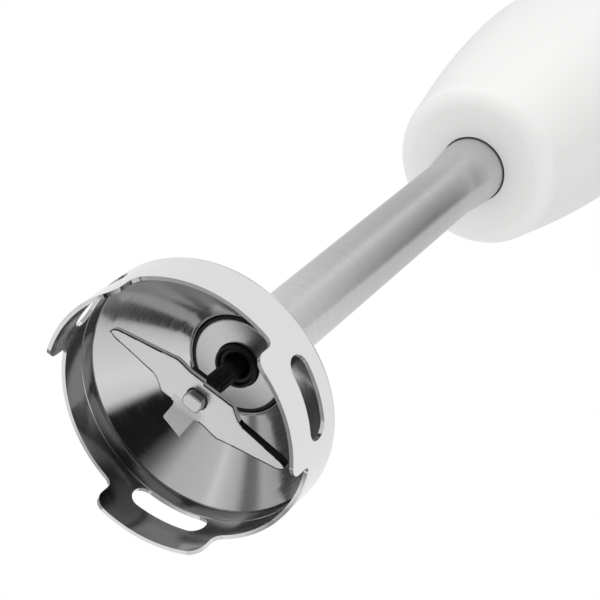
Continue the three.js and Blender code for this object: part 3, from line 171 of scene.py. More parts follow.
def rounded(corners, steps=5):
    """A profile of [r, z] points from [r, z, fillet] corners, each one an arc of its fillet's radius.

    The arc touches both edges at fillet / tan(half the angle between them) from the corner, on the circle
    whose centre lies fillet / sin(half that angle) along the bisector.
    """
    points = []
    count = len(corners)
    for k, (r, z, fillet) in enumerate(corners):
        here = np.array([r, z], float)
        if fillet <= 0:
            points.append(here[None])
            continue
        before = np.array(corners[k - 1][:2], float) - here
        after = np.array(corners[(k + 1) % count][:2], float) - here
        before, after = before / np.linalg.norm(before), after / np.linalg.norm(after)
        half = math.acos(np.clip(before @ after, -1, 1)) / 2
        bisector = (before + after) / np.linalg.norm(before + after)
        centre = here + bisector * fillet / math.sin(half)
        start = here + before * fillet / math.tan(half) - centre
        end = here + after * fillet / math.tan(half) - centre
        turn = math.atan2(start[0] * end[1] - start[1] * end[0], start @ end)
        angles = np.linspace(0, turn, steps + 1)
        cos, sin = np.cos(angles), np.sin(angles)
        arc = np.stack([start[0] * cos - start[1] * sin, start[0] * sin + start[1] * cos], axis=1)
        points.append(centre + arc)
    return np.concatenate(points)


def outwards(made):
    """Turns every face outwards, as seen from outside a closed mesh."""
    mesh = bmesh.new()
    mesh.from_mesh(made.data)
    bmesh.ops.remove_doubles(mesh, verts=mesh.verts, dist=1e-7)
    bmesh.ops.recalc_face_normals(mesh, faces=mesh.faces)
    if mesh.calc_volume(signed=True) < 0:
        bmesh.ops.reverse_faces(mesh, faces=mesh.faces)
    mesh.to_mesh(made.data)
    mesh.free()
    made.data.shade_smooth()


def revolve(profile, angles):
    """The points of an [r, z] profile carried round +Z: x = r cos a, y = r sin a, z = z, for each angle a."""
    return np.stack([
        np.outer(np.cos(angles), profile[:, 0]), np.outer(np.sin(angles), profile[:, 0]),
        np.broadcast_to(profile[:, 1], (len(angles), len(profile))),
    ], axis=-1)


def turned(name, body, corners, *nodes, columns=128, span=(0, 360), steps=5):
    """A closed [r, z] profile carried round +Z over span degrees.

    A span of less than a full turn is closed with the profile itself at both ends.
    """
    profile = rounded(corners, steps)
    full = abs(span[1] - span[0]) >= 360
    angles = np.radians(np.linspace(*span, columns, endpoint=not full))
    faces = grid_faces(columns, len(profile), wrap_rows=full, wrap_columns=True).tolist()
    if not full:
        ends = np.arange(len(profile))
        faces += [ends.tolist(), (ends + (columns - 1) * len(profile)).tolist()]
    made = piece(name, body, revolve(profile, angles).reshape(-1, 3), np.array(faces, dtype=object), *nodes)
    outwards(made)
    return made


def adopt(made, name, body, node):
    """Names a piece that was cut to shape, and lets it ride on a body and stand for a CAD node."""
    made.name = name
    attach(made, body)
    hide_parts(node)
    return made


def level(made, degrees=35):
    """Keeps wide faces flat next to their small fillets, and edges over an angle sharp."""
    made.data.set_sharp_from_angle(angle=math.radians(degrees))
    weighted = made.modifiers.new("Weighted normals", "WEIGHTED_NORMAL")
    weighted.keep_sharp = True
    return made


def soften(made, width, segments=3, degrees=35):
    """Rounds the edges that are sharper than an angle, by a width in millimetres."""
    bevel = made.modifiers.new("Edge rounding", "BEVEL")
    bevel.width = width * MM
    bevel.segments = segments
    bevel.limit_method = "ANGLE"
    bevel.angle_limit = math.radians(degrees)
    bevel.use_clamp_overlap = True
    bevel.harden_normals = False
    return made


def settle(made):
    """Puts a piece's modifiers into its mesh."""
    depsgraph = bpy.context.evaluated_depsgraph_get()
    mesh = bpy.data.meshes.new_from_object(made.evaluated_get(depsgraph), depsgraph=depsgraph)
    made.modifiers.clear()
    old, made.data = made.data, mesh
    bpy.data.meshes.remove(old)
    return made


def carve(made, tool, operation="DIFFERENCE"):
    """Cuts a tool out of a piece, or joins it, and removes the tool."""
    boolean = made.modifiers.new("Cut", "BOOLEAN")
    boolean.object = tool
    boolean.operation = operation
    boolean.solver = "EXACT"
    settle(made)
    bpy.data.objects.remove(tool)
    return made


def prism(outline, low, high, turn=None):
    """A closed outline of [x, y] points raised from low to high along Z, then turned by a matrix."""
    outline = np.asarray(outline, float)
    count = len(outline)
    rings = [np.column_stack([outline, np.full(count, z)]) for z in (low, high)]
    vertices = np.concatenate(rings)
    if turn is not None:
        vertices = vertices @ np.array(turn.to_3x3()).T + np.array(turn.translation)
    faces = grid_faces(2, count, wrap_columns=True).tolist()
    faces += [list(range(count))[::-1], list(range(count, 2 * count))]
    made = piece("tool", None, vertices, np.array(faces, dtype=object))
    outwards(made)
    return made


def stadium(length, width, count=48):
    """The outline of a bar with round ends along X: a circle's points drawn apart by length - width."""
    angles = np.linspace(0, 2 * np.pi, count, endpoint=False) + np.pi / count
    shift = np.sign(np.cos(angles)) * (length - width) / 2
    return np.column_stack([np.cos(angles) * width / 2 + shift, np.sin(angles) * width / 2])


def circle(across, count=48):
    """A round outline, given its diameter."""
    return stadium(across, across, count)


def facing_minus_x(height):
    """Puts an outline's X up the body and its Y across it, at a height on the -X side."""
    turn = Matrix(((0, 0, -1), (0, 1, 0), (1, 0, 0))).to_4x4()
    return Matrix.Translation((0, 0, height)) @ turn


def smooth_curve(points, count):
    """Points of a Catmull-Rom curve through control points, evenly shared between them."""
    points = np.asarray(points, float)
    padded = np.concatenate([[2 * points[0] - points[1]], points, [2 * points[-1] - points[-2]]])
    t = np.linspace(0, len(points) - 1, count)
    k = np.minimum(t.astype(int), len(points) - 2)
    u = (t - k)[:, None]
    a, b, c, d = (padded[k + i] for i in range(4))
    square, cube = 2 * a - 5 * b + 4 * c - d, 3 * b - a - 3 * c + d
    return 0.5 * (2 * b + (c - a) * u + square * u ** 2 + cube * u ** 3)


# ---- Materials ----


def linear(code):
    """The linear colour of an sRGB hex code."""
    values = np.array([int(code[i:i + 2], 16) for i in (0, 2, 4)]) / 255
    values = np.where(values <= 0.04045, values / 12.92, ((values + 0.055) / 1.055) ** 2.4)
    return (*values.tolist(), 1.0)


def add(tree, kind, inputs=None, **settings):
    """Adds a node with its settings; an input given as a socket is linked, any other is set."""
    made = tree.nodes.new(kind)
    for name, value in settings.items():
        setattr(made, name, value)
    for key, value in (inputs or {}).items():
        if isinstance(value, bpy.types.NodeSocket):
            tree.links.new(value, made.inputs[key])
        else:
            made.inputs[key].default_value = value
    return made


def material(name):
    """A new material with an empty tree, and its tree."""
    made = bpy.data.materials.new(name)
    made.use_nodes = True
    made.node_tree.nodes.clear()
    return made, made.node_tree


def close(tree, shader):
    """Joins a shader to the material's output."""
    add(tree, "ShaderNodeOutputMaterial", {"Surface": shader.outputs[0]})


def finished(made, tree, inputs):
    """Ends a material with one principled shader, and gives the material."""
    close(tree, add(tree, "ShaderNodeBsdfPrincipled", inputs))
    return made


def coordinates(tree):
    """The object's own coordinates, in metres."""
    return add(tree, "ShaderNodeTexCoord").outputs["Object"]


def maths(tree, operation, *values):
    """What one maths node gives."""
    return add(tree, "ShaderNodeMath", dict(enumerate(values)), operation=operation).outputs[0]


def ranged(tree, value, low, high, first, last, **settings):
    """Carries a value between low and high over to first and last, and holds it there outside them."""
    inputs = {"Value": value, "From Min": low, "From Max": high, "To Min": first, "To Max": last}
    return add(tree, "ShaderNodeMapRange", inputs, **settings).outputs[0]


def spread(tree, noise, first, last):
    """Carries 0.3 to 0.7, where most of a noise lies, over to first and last."""
    return ranged(tree, noise, 0.3, 0.7, first, last)


def noise_over(tree, scale, stretch=None, detail=3, roughness=0.5):
    """Noise over the object, drawn out along each axis where a stretch is given."""
    place = coordinates(tree)
    if stretch:
        place = add(tree, "ShaderNodeMapping", {"Vector": place, "Scale": stretch}).outputs[0]
    return add(tree, "ShaderNodeTexNoise", {
        "Vector": place, "Scale": scale, "Detail": detail, "Roughness": roughness}).outputs[0]


def tone(tree, factor, dark, light):
    """A colour between two sRGB codes."""
    return add(tree, "ShaderNodeMix", {"Factor": factor, 6: linear(dark), 7: linear(light)},
               data_type="RGBA").outputs[2]


def relief(tree, height, strength, depth):
    """A bumped normal, its depth in millimetres."""
    inputs = {"Strength": strength, "Distance": depth * MM, "Height": height}
    return add(tree, "ShaderNodeBump", inputs).outputs[0]


def circle_brushed_steel():
    """Stainless steel 1.4301, brushed in circles on a lathe: rings that smear highlights along the radius.

    The real rings are 0.05 mm apart; they are drawn 0.35 mm apart so that they show. Towards the rim, where
    the brush doesn't reach, the steel is matt and less bright.
    """
    pitch, along_rings = 0.35 * MM, 2.5
    made, tree = material("Circle-brushed stainless steel")
    place = coordinates(tree)
    flat = add(tree, "ShaderNodeVectorMath", {0: place, 1: (1, 1, 0)}, operation="MULTIPLY").outputs[0]
    radius = add(tree, "ShaderNodeVectorMath", {0: flat}, operation="LENGTH").outputs["Value"]
    way = add(tree, "ShaderNodeVectorMath", {0: flat}, operation="NORMALIZE").outputs[0]
    height = add(tree, "ShaderNodeSeparateXYZ", {0: place}).outputs[2]
    across = maths(tree, "ADD", *(maths(tree, "MULTIPLY", value, 1 / pitch) for value in (radius, height)))
    arc = add(tree, "ShaderNodeVectorMath", {0: way, 1: (along_rings, along_rings, 0)}, operation="MULTIPLY")
    along = add(tree, "ShaderNodeSeparateXYZ", {0: arc.outputs[0]}).outputs
    where = add(tree, "ShaderNodeCombineXYZ", {0: across, 1: along[0], 2: along[1]}).outputs[0]
    lines = add(tree, "ShaderNodeTexNoise", {
        "Vector": where, "Scale": 1, "Detail": 3, "Roughness": 0.6}).outputs[0]
    matt = ranged(tree, height, 6.5 * MM, 9 * MM, 0.3, 0.0)
    return finished(made, tree, {
        "Base Color": tone(tree, lines, "BEBEBE", "FAFAFA"),
        "Metallic": ranged(tree, height, 5.0 * MM, 8.8 * MM, 0.25, 1.0),
        "Roughness": maths(tree, "ADD", spread(tree, lines, 0.22, 0.32), matt),
        "Normal": relief(tree, lines, 0.2, 0.05), "Anisotropic": 0.85, "Tangent": way})


def mirror_polished_steel(code):
    """Stainless steel 1.4301, buffed bright: a clear reflection with a faint haze and hairline marks."""
    made, tree = material("Mirror-polished stainless steel")
    marks = noise_over(tree, 4, (60, 60, 900), detail=4)
    return finished(made, tree, {
        "Base Color": linear(code), "Metallic": 1.0, "Roughness": spread(tree, marks, 0.07, 0.15),
        "Normal": relief(tree, marks, 0.03, 0.02)})


def round_brushed_steel(code):
    """Stainless steel 1.4301 tube, ground round its axis: fine rings that smear highlights along the tube."""
    made, tree = material("Round-ground stainless steel tube")
    rings = noise_over(tree, 1, (60, 60, 2500), roughness=0.6)
    return finished(made, tree, {
        "Base Color": tone(tree, rings, "CFCFCF", code), "Metallic": 1.0,
        "Roughness": spread(tree, rings, 0.23, 0.25), "Normal": relief(tree, rings, 0.004, 0.02),
        "Anisotropic": 0.85, "Tangent": add(tree, "ShaderNodeCombineXYZ", {2: 1.0}).outputs[0]})


def satin_metal(code, name, low, high, stretch, depth=0.05):
    """A metal, belt-ground or turned to a satin: soft reflections with fine lines one way.

    low and high are its roughness, stretch the lines' fineness along each axis, depth how strong they read.
    """
    made, tree = material(name)
    lines = noise_over(tree, 2, stretch, roughness=0.6)
    return finished(made, tree, {
        "Base Color": linear(code), "Metallic": 1.0, "Roughness": spread(tree, lines, low, high),
        "Normal": relief(tree, lines, depth, 0.02)})


def sheared_steel():
    """The blade's punched edge: torn, matt steel that looks evenly grey from every side."""
    made, tree = material("Punched steel edge")
    torn = noise_over(tree, 3000, detail=2)
    return finished(made, tree, {
        "Base Color": linear("D8D8D8"), "Metallic": 0.4, "Roughness": spread(tree, torn, 0.5, 0.6)})


def moulded_plastic(name, code, low, high, grit, ior=1.5, depth=0.02):
    """A moulded thermoplastic: an even colour under a gloss that the tool's fine texture breaks up a little.

    low and high are its roughness, grit the texture's size in millimetres, and depth how deep it reads.
    """
    made, tree = material(name)
    texture = noise_over(tree, 1 / (grit * MM))
    return finished(made, tree, {
        "Base Color": linear(code), "Roughness": spread(tree, texture, low, high), "IOR": ior,
        "Normal": relief(tree, texture, 0.1, depth)})


def laminated_iron():
    """Electrical sheet, stamped and stacked: half-millimetre layers with dull blue-grey edges."""
    sheet = 0.5 * MM
    made, tree = material("Laminated electrical sheet")
    height = add(tree, "ShaderNodeSeparateXYZ", {0: coordinates(tree)}).outputs[2]
    layer = maths(tree, "FRACT", maths(tree, "MULTIPLY", height, 1 / sheet))
    return finished(made, tree, {
        "Base Color": tone(tree, layer, "5E646B", "7C8289"), "Metallic": 1.0, "Roughness": 0.5,
        "Normal": relief(tree, layer, 0.3, 0.05)})


def enamelled_copper():
    """Copper wire with clear enamel, wound close: turns 0.6 mm apart that catch the light in rows."""
    pitch, bands_per_unit = 0.6 * MM, 20
    made, tree = material("Enamelled copper wire")
    turns = add(tree, "ShaderNodeTexWave", {
        "Vector": coordinates(tree), "Scale": 1 / pitch / bands_per_unit, "Distortion": 0.5,
    }, bands_direction="DIAGONAL").outputs[1]
    return finished(made, tree, {
        "Base Color": tone(tree, turns, "8E4A28", "C87A48"), "Metallic": 1.0, "Roughness": 0.3,
        "Coat Weight": 0.6, "Coat Roughness": 0.1, "Normal": relief(tree, turns, 0.6, 0.2)})


def sintered_bronze():
    """Oil-filled sintered bronze: a dull, pored brown-gold."""
    pore = 0.25 * MM
    made, tree = material("Sintered bronze")
    pores = add(tree, "ShaderNodeTexVoronoi", {"Vector": coordinates(tree), "Scale": 1 / pore}).outputs[0]
    return finished(made, tree, {
        "Base Color": tone(tree, pores, "6B4726", "A87A48"), "Metallic": 1.0, "Roughness": 0.45,
        "Normal": relief(tree, pores, 0.3, 0.04)})


def made_once(make, *given, **named):
    """The material that a function makes with these values, made on first use."""
    key = repr((make.__name__, given, sorted(named.items())))
    if key not in made_once.kept:
        made_once.kept[key] = make(*given, **named)
    return made_once.kept[key]


made_once.kept = {}


def dress(made, slot, *finishes):
    """Gives a piece its materials; the slot is not used."""
    made.data.materials.clear()
    for finish in finishes:
        made.data.materials.append(finish)
    return made


def white_abs():
    """The motor body's acrylonitrile butadiene styrene, moulded in a polished tool."""
    return made_once(moulded_plastic, "Gloss white ABS", bpy.context.scene.blender_finishes.white,
                     0.2, 0.28, 0.9, ior=1.53)


def grey_abs():
    """The same plastic, moulded in an etched tool."""
    return made_once(moulded_plastic, "Satin grey ABS", bpy.context.scene.blender_finishes.grey,
                     0.38, 0.5, 0.25)


def black_nylon():
    """Polyamide filled with short glass fibre, whose ends roughen it."""
    return made_once(moulded_plastic, "Black glass-filled nylon", bpy.context.scene.blender_finishes.black,
                     0.32, 0.48, 0.3, ior=1.53, depth=0.05)


def nitrile():
    """Nitrile rubber, for the seals and the motor's mounts."""
    return made_once(moulded_plastic, "Black nitrile rubber", "101012", 0.42, 0.6, 0.2, ior=1.52, depth=0.05)


def carbon_steel(high, fineness, depth):
    """Plain steel, turned on a lathe, for the shaft, the screws and the motor's small parts."""
    return made_once(satin_metal, "D2D2D2", "Turned carbon steel", 0.2, high, (fineness,) * 3, depth)


# ---- Blending foot ----


def lobe_outline(sizes, rim, half_sector, count):
    """The lower edge of one sector of the guard, as [arc length, height] evenly spaced points.

    From the rim it rounds down a lobe's side, round its corner, along its end, and up the other side alike.
    """
    half_lobe = math.radians(sizes.lobe_span) * RIM_RADIUS / 2
    end = rim - sizes.lobe_drop
    path = rounded([
        (-half_sector, rim, 0), (-half_lobe, rim, sizes.lobe_fillet), (-half_lobe, end, sizes.lobe_corner),
        (half_lobe, end, sizes.lobe_corner), (half_lobe, rim, sizes.lobe_fillet), (half_sector, rim, 0),
    ], 12)
    run = np.concatenate([[0], np.cumsum(np.linalg.norm(np.diff(path, axis=0), axis=1))])
    even = np.linspace(0, run[-1], count)
    return np.column_stack([np.interp(even, run, path[:, 0]), np.interp(even, run, path[:, 1])])


def skirt_sector(sizes, rim, top, columns, rows=18, side=10, bottom=150):
    """One sector of the guard's straight wall round its slot, unrolled.

    Its outer loop runs along the top, down one side, along the lobe's outline and up the other side. Each of
    its points is joined to the nearest point of the slot's outline. The rows share out the way between them,
    closer together near the slot.
    """
    half_sector = RIM_RADIUS * math.pi / 3
    along = np.linspace(half_sector, -half_sector, columns + 1)
    upright = np.linspace(top, rim, side + 1)
    outline = lobe_outline(sizes, rim, half_sector, bottom)
    loop = np.concatenate([
        np.column_stack([along[:-1], np.full(columns, top)]),
        np.column_stack([np.full(side, -half_sector), upright[:-1]]),
        outline[:-1],
        np.column_stack([np.full(side, half_sector), upright[::-1][:-1]]),
    ])
    end = sizes.slot_height / 2
    core = math.radians(sizes.slot_span) * RIM_RADIUS / 2 - end
    middle = np.column_stack([np.clip(loop[:, 0], -core, core), np.full(len(loop), rim + end)])
    way = loop - middle
    slot = middle + way / np.linalg.norm(way, axis=1, keepdims=True) * end
    closer = 1.3
    share = np.linspace(0, 1, rows)[:, None, None] ** closer
    return slot[None] * (1 - share) + loop[None] * share


def guard_profile(sizes, top):
    """The guard's outer [r, z] profile above its straight wall: shoulder, bowed dome, bearing wall, neck."""
    rim = sizes.lobe_drop
    foot = np.array([RIM_RADIUS - sizes.sheet, rim + sizes.straight])
    edge = np.array([sizes.hole_radius, rim + sizes.straight + sizes.dome_rise])
    bow = 0.8
    t = np.linspace(0, 1, 26)[:, None]
    way = (edge - foot) / np.linalg.norm(edge - foot)
    normal = np.array([way[1], -way[0]])
    dome = foot + (edge - foot) * t + normal * (sizes.sheet + bow * 4 * t * (1 - t))
    shoulder = rounded([(RIM_RADIUS, top, 0), (RIM_RADIUS, foot[1] + 0.45, 2.0), (*dome[4], 0)], 8)[:-1]
    wall = sizes.hole_radius + sizes.sheet
    meet = np.interp(wall, dome[::-1, 0], dome[::-1, 1])
    neck = rounded([
        (*dome[-5], 0), (wall, meet, 1.15), (wall, edge[1] + 2.6, 0.8),
        (sizes.neck_radius + 0.8, edge[1] + 5.6, 2), (sizes.neck_radius, edge[1] + 11, 3),
        (sizes.neck_radius, GUARD_TOP, 0),
    ], 6)[1:]
    return np.concatenate([shoulder, dome[4:-4], neck])


def blade_guard(sizes):
    """The guard's outer surface, given its thickness inwards: three skirt sectors and a turned dome."""
    columns, shoulder = 84, 1.2
    rim = sizes.lobe_drop
    top = rim + sizes.straight - shoulder
    sector = skirt_sector(sizes, rim, top, columns)
    rows, count = sector.shape[:2]
    vertices, faces = [], []
    for lobe in range(3):
        angle = sector[..., 0] / RIM_RADIUS + math.radians(sizes.lobe_angle + 120 * lobe)
        bend = np.stack([RIM_RADIUS * np.cos(angle), RIM_RADIUS * np.sin(angle), sector[..., 1]], axis=-1)
        faces.append(grid_faces(rows, count, wrap_columns=True) + lobe * rows * count)
        vertices.append(bend.reshape(-1, 3))
    profile = guard_profile(sizes, top)
    angles = np.radians(np.arange(3 * columns) * 120 / columns + sizes.lobe_angle + 60)
    faces.append(grid_faces(3 * columns, len(profile), wrap_rows=True) + 3 * rows * count)
    vertices.append(revolve(profile, angles).reshape(-1, 3))
    made = piece("guard_bell", "foot", np.concatenate(vertices), np.concatenate(faces), "blade_guard")
    sheet = bmesh.new()
    sheet.from_mesh(made.data)
    bmesh.ops.remove_doubles(sheet, verts=sheet.verts, dist=1e-6)
    bmesh.ops.recalc_face_normals(sheet, faces=sheet.faces)
    first = sheet.faces[:][0]
    centre = first.calc_center_median()
    if first.normal.dot(Vector((centre.x, centre.y, 0))) < 0:
        bmesh.ops.reverse_faces(sheet, faces=sheet.faces)
    sheet.to_mesh(made.data)
    sheet.free()
    made.data.shade_smooth()
    thick = made.modifiers.new("Sheet thickness", "SOLIDIFY")
    thick.thickness = sizes.sheet * MM
    thick.offset = -1
    thick.use_even_offset = True
    thick.material_offset = 1
    thick.material_offset_rim = 0
    settle(made)
    soften(made, 0.22, 2, 50)
    level(made, 50)
    return made


class OBJECT_OT_blender_guard(bpy.types.Operator):
    """Builds the lobed, slotted bell guard"""

    bl_idname = "object.blender_guard"
    bl_label = "Bell Guard"

    def execute(self, context):
        finishes = context.scene.blender_finishes
        made = blade_guard(context.scene.blender_foot)
        polished = made_once(mirror_polished_steel, finishes.steel)
        dress(made, "polished_steel", polished, made_once(circle_brushed_steel))
        inside = RIM_RADIUS - context.scene.blender_foot.sheet
        seam, half = 15.0, 0.2
        bead = turned("guard_seam", "foot", [
            (inside + 0.2, seam - half, 0), (inside - 0.02, seam - half, 0), (inside - 0.14, seam, 0.06),
            (inside - 0.02, seam + half, 0), (inside + 0.2, seam + half, 0),
        ], columns=192)
        dress(level(bead), "polished_steel", polished)
        return {"FINISHED"}


class OBJECT_OT_blender_bearing(bpy.types.Operator):
    """Builds the bearing cap and the lip seal in the middle of the guard"""

    bl_idname = "object.blender_bearing"
    bl_label = "Bearing Cap and Seal"

    def execute(self, context):
        seat, outer, bore = SEAL_RADIUS + 0.15, 7.3, 5.1
        flange, shelf, top = CAP_FACE + 3, CAP_FACE + 6.8, CAP_FACE + 21
        cap = turned("bearing_cap_face", "foot", [
            (seat, CAP_FACE, 0.2), (CAP_RADIUS, CAP_FACE, 0.35), (CAP_RADIUS, flange, 0.1),
            (outer, flange, 0.2), (outer, top, 0.2), (bore, top, 0.1), (bore, shelf, 0.1), (seat, shelf, 0.1),
        ], "bearing_cap", columns=160)
        dress(level(cap), "brushed_steel", made_once(
            satin_metal, "DCDCDC", "Fine-turned stainless steel", 0.26, 0.32, (2500, 2500, 2500), 0.02))
        lip = 3.05
        seal = turned("lip_seal_ring", "foot", [
            (SEAL_RADIUS - 0.75, SEAL_FACE, 0.25), (SEAL_RADIUS, SEAL_FACE, 0.3),
            (SEAL_RADIUS, CAP_FACE + 4, 0.2), (lip + 0.9, CAP_FACE + 4, 0.2), (lip, CAP_FACE + 0.4, 0.2),
            (lip, SEAL_FACE + 1.5, 0.15),
            (lip + 0.5, SEAL_FACE + 0.9, 0.15), (SEAL_RADIUS - 1.15, SEAL_FACE + 0.9, 0.15),
        ], "lip_seal", columns=96)
        dress(level(seal), "black_rubber", nitrile())
        # A black rubber ring filling the groove round the cap: painted shade, standing for the shadow in the
        # groove.
        inner, outer = CAP_RADIUS + 0.02, context.scene.blender_foot.hole_radius - 0.02
        low, high = CAP_FACE + 0.3, CAP_FACE + 1.4
        ring = turned("groove_shade_ring", "foot", [
            (inner, low, 0.05), (outer, low, 0.05), (outer, high, 0), (inner, high, 0),
        ], columns=128)
        dress(level(ring), "black_rubber", nitrile())
        return {"FINISHED"}


# ---- Blade unit ----


def blade_edges(sizes, x):
    """Half-widths of one wing at x from the axis: its straight back edge and its bellied cutting edge.

    The back edge steps in from the hub in a quarter wave, then tapers straight. The belly swells in half a
    wave to its widest at the hub's end, then falls to the tip along a softened line. The tip closes both with
    a small round.
    """
    hub, half, wide = sizes.hub_length / 2, sizes.hub_width / 2, sizes.belly
    step_length, back_width, back_taper = 4.2, 2.05, 1.15
    swell_length, hub_belly, tip_belly = 5.2, half + 0.75, 2.25
    tip_round, tip_back, tip_front = 2.2, -0.15, 0.35
    step = np.clip((x - hub) / step_length, 0, 1)
    taper = np.clip((x - hub - step_length) / (sizes.reach - hub - step_length), 0, 1)
    back = half + (back_width - half) * np.sin(step * np.pi / 2) - back_taper * taper
    swell = np.clip((x - (hub - swell_length)) / swell_length, 0, 1)
    fall = np.clip((x - hub) / (sizes.reach - hub), 0, 1) ** 0.92
    belly = hub_belly + (wide - hub_belly) * (0.5 - 0.5 * np.cos(swell * np.pi)) - (wide - tip_belly) * fall
    nose = np.clip((x - (sizes.reach - tip_round)) / tip_round, 0, 1)
    closing = 1 - np.sqrt(np.clip(1 - nose ** 2, 0, 1))
    return back - closing * (back - tip_back), belly - closing * (belly - tip_front)


def blade_plate(sizes, low):
    """The blade as a grid over x and across: flat, with a slanting ground face along each back edge.

    The two wings are one shape, half a turn apart. A fine bevel runs round the underside.
    """
    edge_lift, edge_width = 0.12, 0.4
    bunch = np.linspace(-1, 1, 241)
    x = sizes.reach * (0.55 * bunch + 0.45 * np.sin(bunch * np.pi / 2))
    x = sizes.reach * x / x[-1]
    back, belly = blade_edges(sizes, np.abs(x))
    right = x >= 0
    y_low = np.where(right, -back, -belly)
    y_high = np.where(right, belly, back)
    across = np.concatenate([np.linspace(0, 0.3, 10), np.linspace(0.34, 0.66, 6), np.linspace(0.7, 1, 10)])
    y = y_low[:, None] + (y_high - y_low)[:, None] * across[None]
    hub = sizes.hub_length / 2
    bevel = sizes.grind * np.clip((np.abs(x) - hub) / (sizes.reach - hub), 0, 1) ** 0.6
    bevel = np.minimum(bevel, 0.55 * (y_high - y_low))
    low_edge = np.where(right, bevel, 0)
    high_edge = np.where(right, 0, bevel)
    inner = (y_low + low_edge)[:, None] + (y_high - high_edge - y_low - low_edge)[:, None] * across[None]
    to_edge = np.minimum(inner - inner[:, :1], inner[:, -1:] - inner)
    lift = edge_lift * np.clip(1 - to_edge / edge_width, 0, 1)
    along = np.broadcast_to(x[:, None], y.shape)
    flat = np.stack([along, inner, low + lift], axis=-1)
    raised = np.stack([along, y, np.full(y.shape, low + sizes.thickness)], axis=-1)
    loop = np.concatenate([flat, raised[:, ::-1]], axis=1)
    count = loop.shape[1]
    faces = grid_faces(len(x), count, wrap_columns=True).tolist()
    ends = np.arange(count)
    faces += [ends.tolist(), (ends + (len(x) - 1) * count).tolist()]
    return loop.reshape(-1, 3), np.array(faces, dtype=object)


TAB_MIDDLE = -1.3


def bent_tab(sizes, low):
    """A strip with one bend of 60 degrees: straight out of the blade, round an arc, then on and narrowing.

    Its end is cut at a slant, so its -1 side is shorter. It is a little thinner than the blade, so that no
    two of their faces lie in one plane.
    """
    bend, radius, inset = math.radians(60), 2.2, 0.03
    thickness = sizes.thickness - 2 * inset
    start, length, slant = sizes.hub_width / 2 - 1.9, 4.9, 1.5
    turn = np.linspace(0, bend, 9)
    out = np.concatenate([[start], start + 1.5 + radius * np.sin(turn), [0]])
    drop = np.concatenate([[0], radius * (1 - np.cos(turn)), [0]])
    out[-1] = out[-2] + length * math.cos(bend)
    drop[-1] = drop[-2] + length * math.sin(bend)
    tilt = np.concatenate([[0], turn, [bend]])
    wide = np.linspace(7.0, 6.0, len(out)) / 2
    corners = []
    for across, inside in ((-1, 0), (1, 0), (1, 1), (-1, 1)):
        reach = out - inside * thickness * np.sin(tilt)
        depth = -drop - inside * thickness * np.cos(tilt) + thickness
        if across == -1:
            reach[-1] -= slant * math.cos(bend)
            depth[-1] += slant * math.sin(bend)
        corners.append(np.stack([across * wide, reach, depth], axis=-1))
    ring = np.stack(corners, axis=1)
    count = len(out)
    vertices = ring.reshape(-1, 3) + (TAB_MIDDLE, 0, low + inset)
    faces = grid_faces(count, 4, wrap_columns=True).tolist()
    faces += [[0, 1, 2, 3], [4 * count - 4, 4 * count - 3, 4 * count - 2, 4 * count - 1]]
    made = piece("tool", None, vertices, np.array(faces, dtype=object))
    outwards(made)
    return made


def double_d(length, width, count=40):
    """A round outline cut by two flats: the circle's points, held between them."""
    angles = np.linspace(0, 2 * np.pi, count, endpoint=False)
    across = np.clip(np.sin(angles) * length / 2, -width / 2, width / 2)
    return np.column_stack([np.cos(angles) * length / 2, across])


def blade_finishes(blade, sizes, low):
    """Picks each face's material: 0 ground steel, 1 the underside's rim, painted dark as a reflection, 2 the
    punched edge.
    """
    count = len(blade.data.polygons)
    normals, middles = np.zeros(count * 3), np.zeros(count * 3)
    blade.data.polygons.foreach_get("normal", normals)
    blade.data.polygons.foreach_get("center", middles)
    slope, middles = normals.reshape(-1, 3)[:, 2], middles.reshape(-1, 3) / MM
    angle = math.radians(sizes.angle)
    way = np.array([math.cos(angle), math.sin(angle)])
    along, across = middles[:, :2] @ way, middles[:, :2] @ np.array([-way[1], way[0]])
    tab = (middles[:, 2] < low - 0.02) | ((np.abs(along - TAB_MIDDLE) < 4) & (across > 2.6))
    # The underside's bevelled rim: painted reflection, dark steel standing for the dark that the bevel
    # mirrors.
    rim = (slope > -0.975) & (slope < -0.3) & ~tab
    punched = (np.abs(slope) <= 0.3) | (tab & (slope < -0.05))
    kind = np.where(rim, 1, np.where(punched, 2, 0))
    blade.data.polygons.foreach_set("material_index", kind.astype(np.int32))


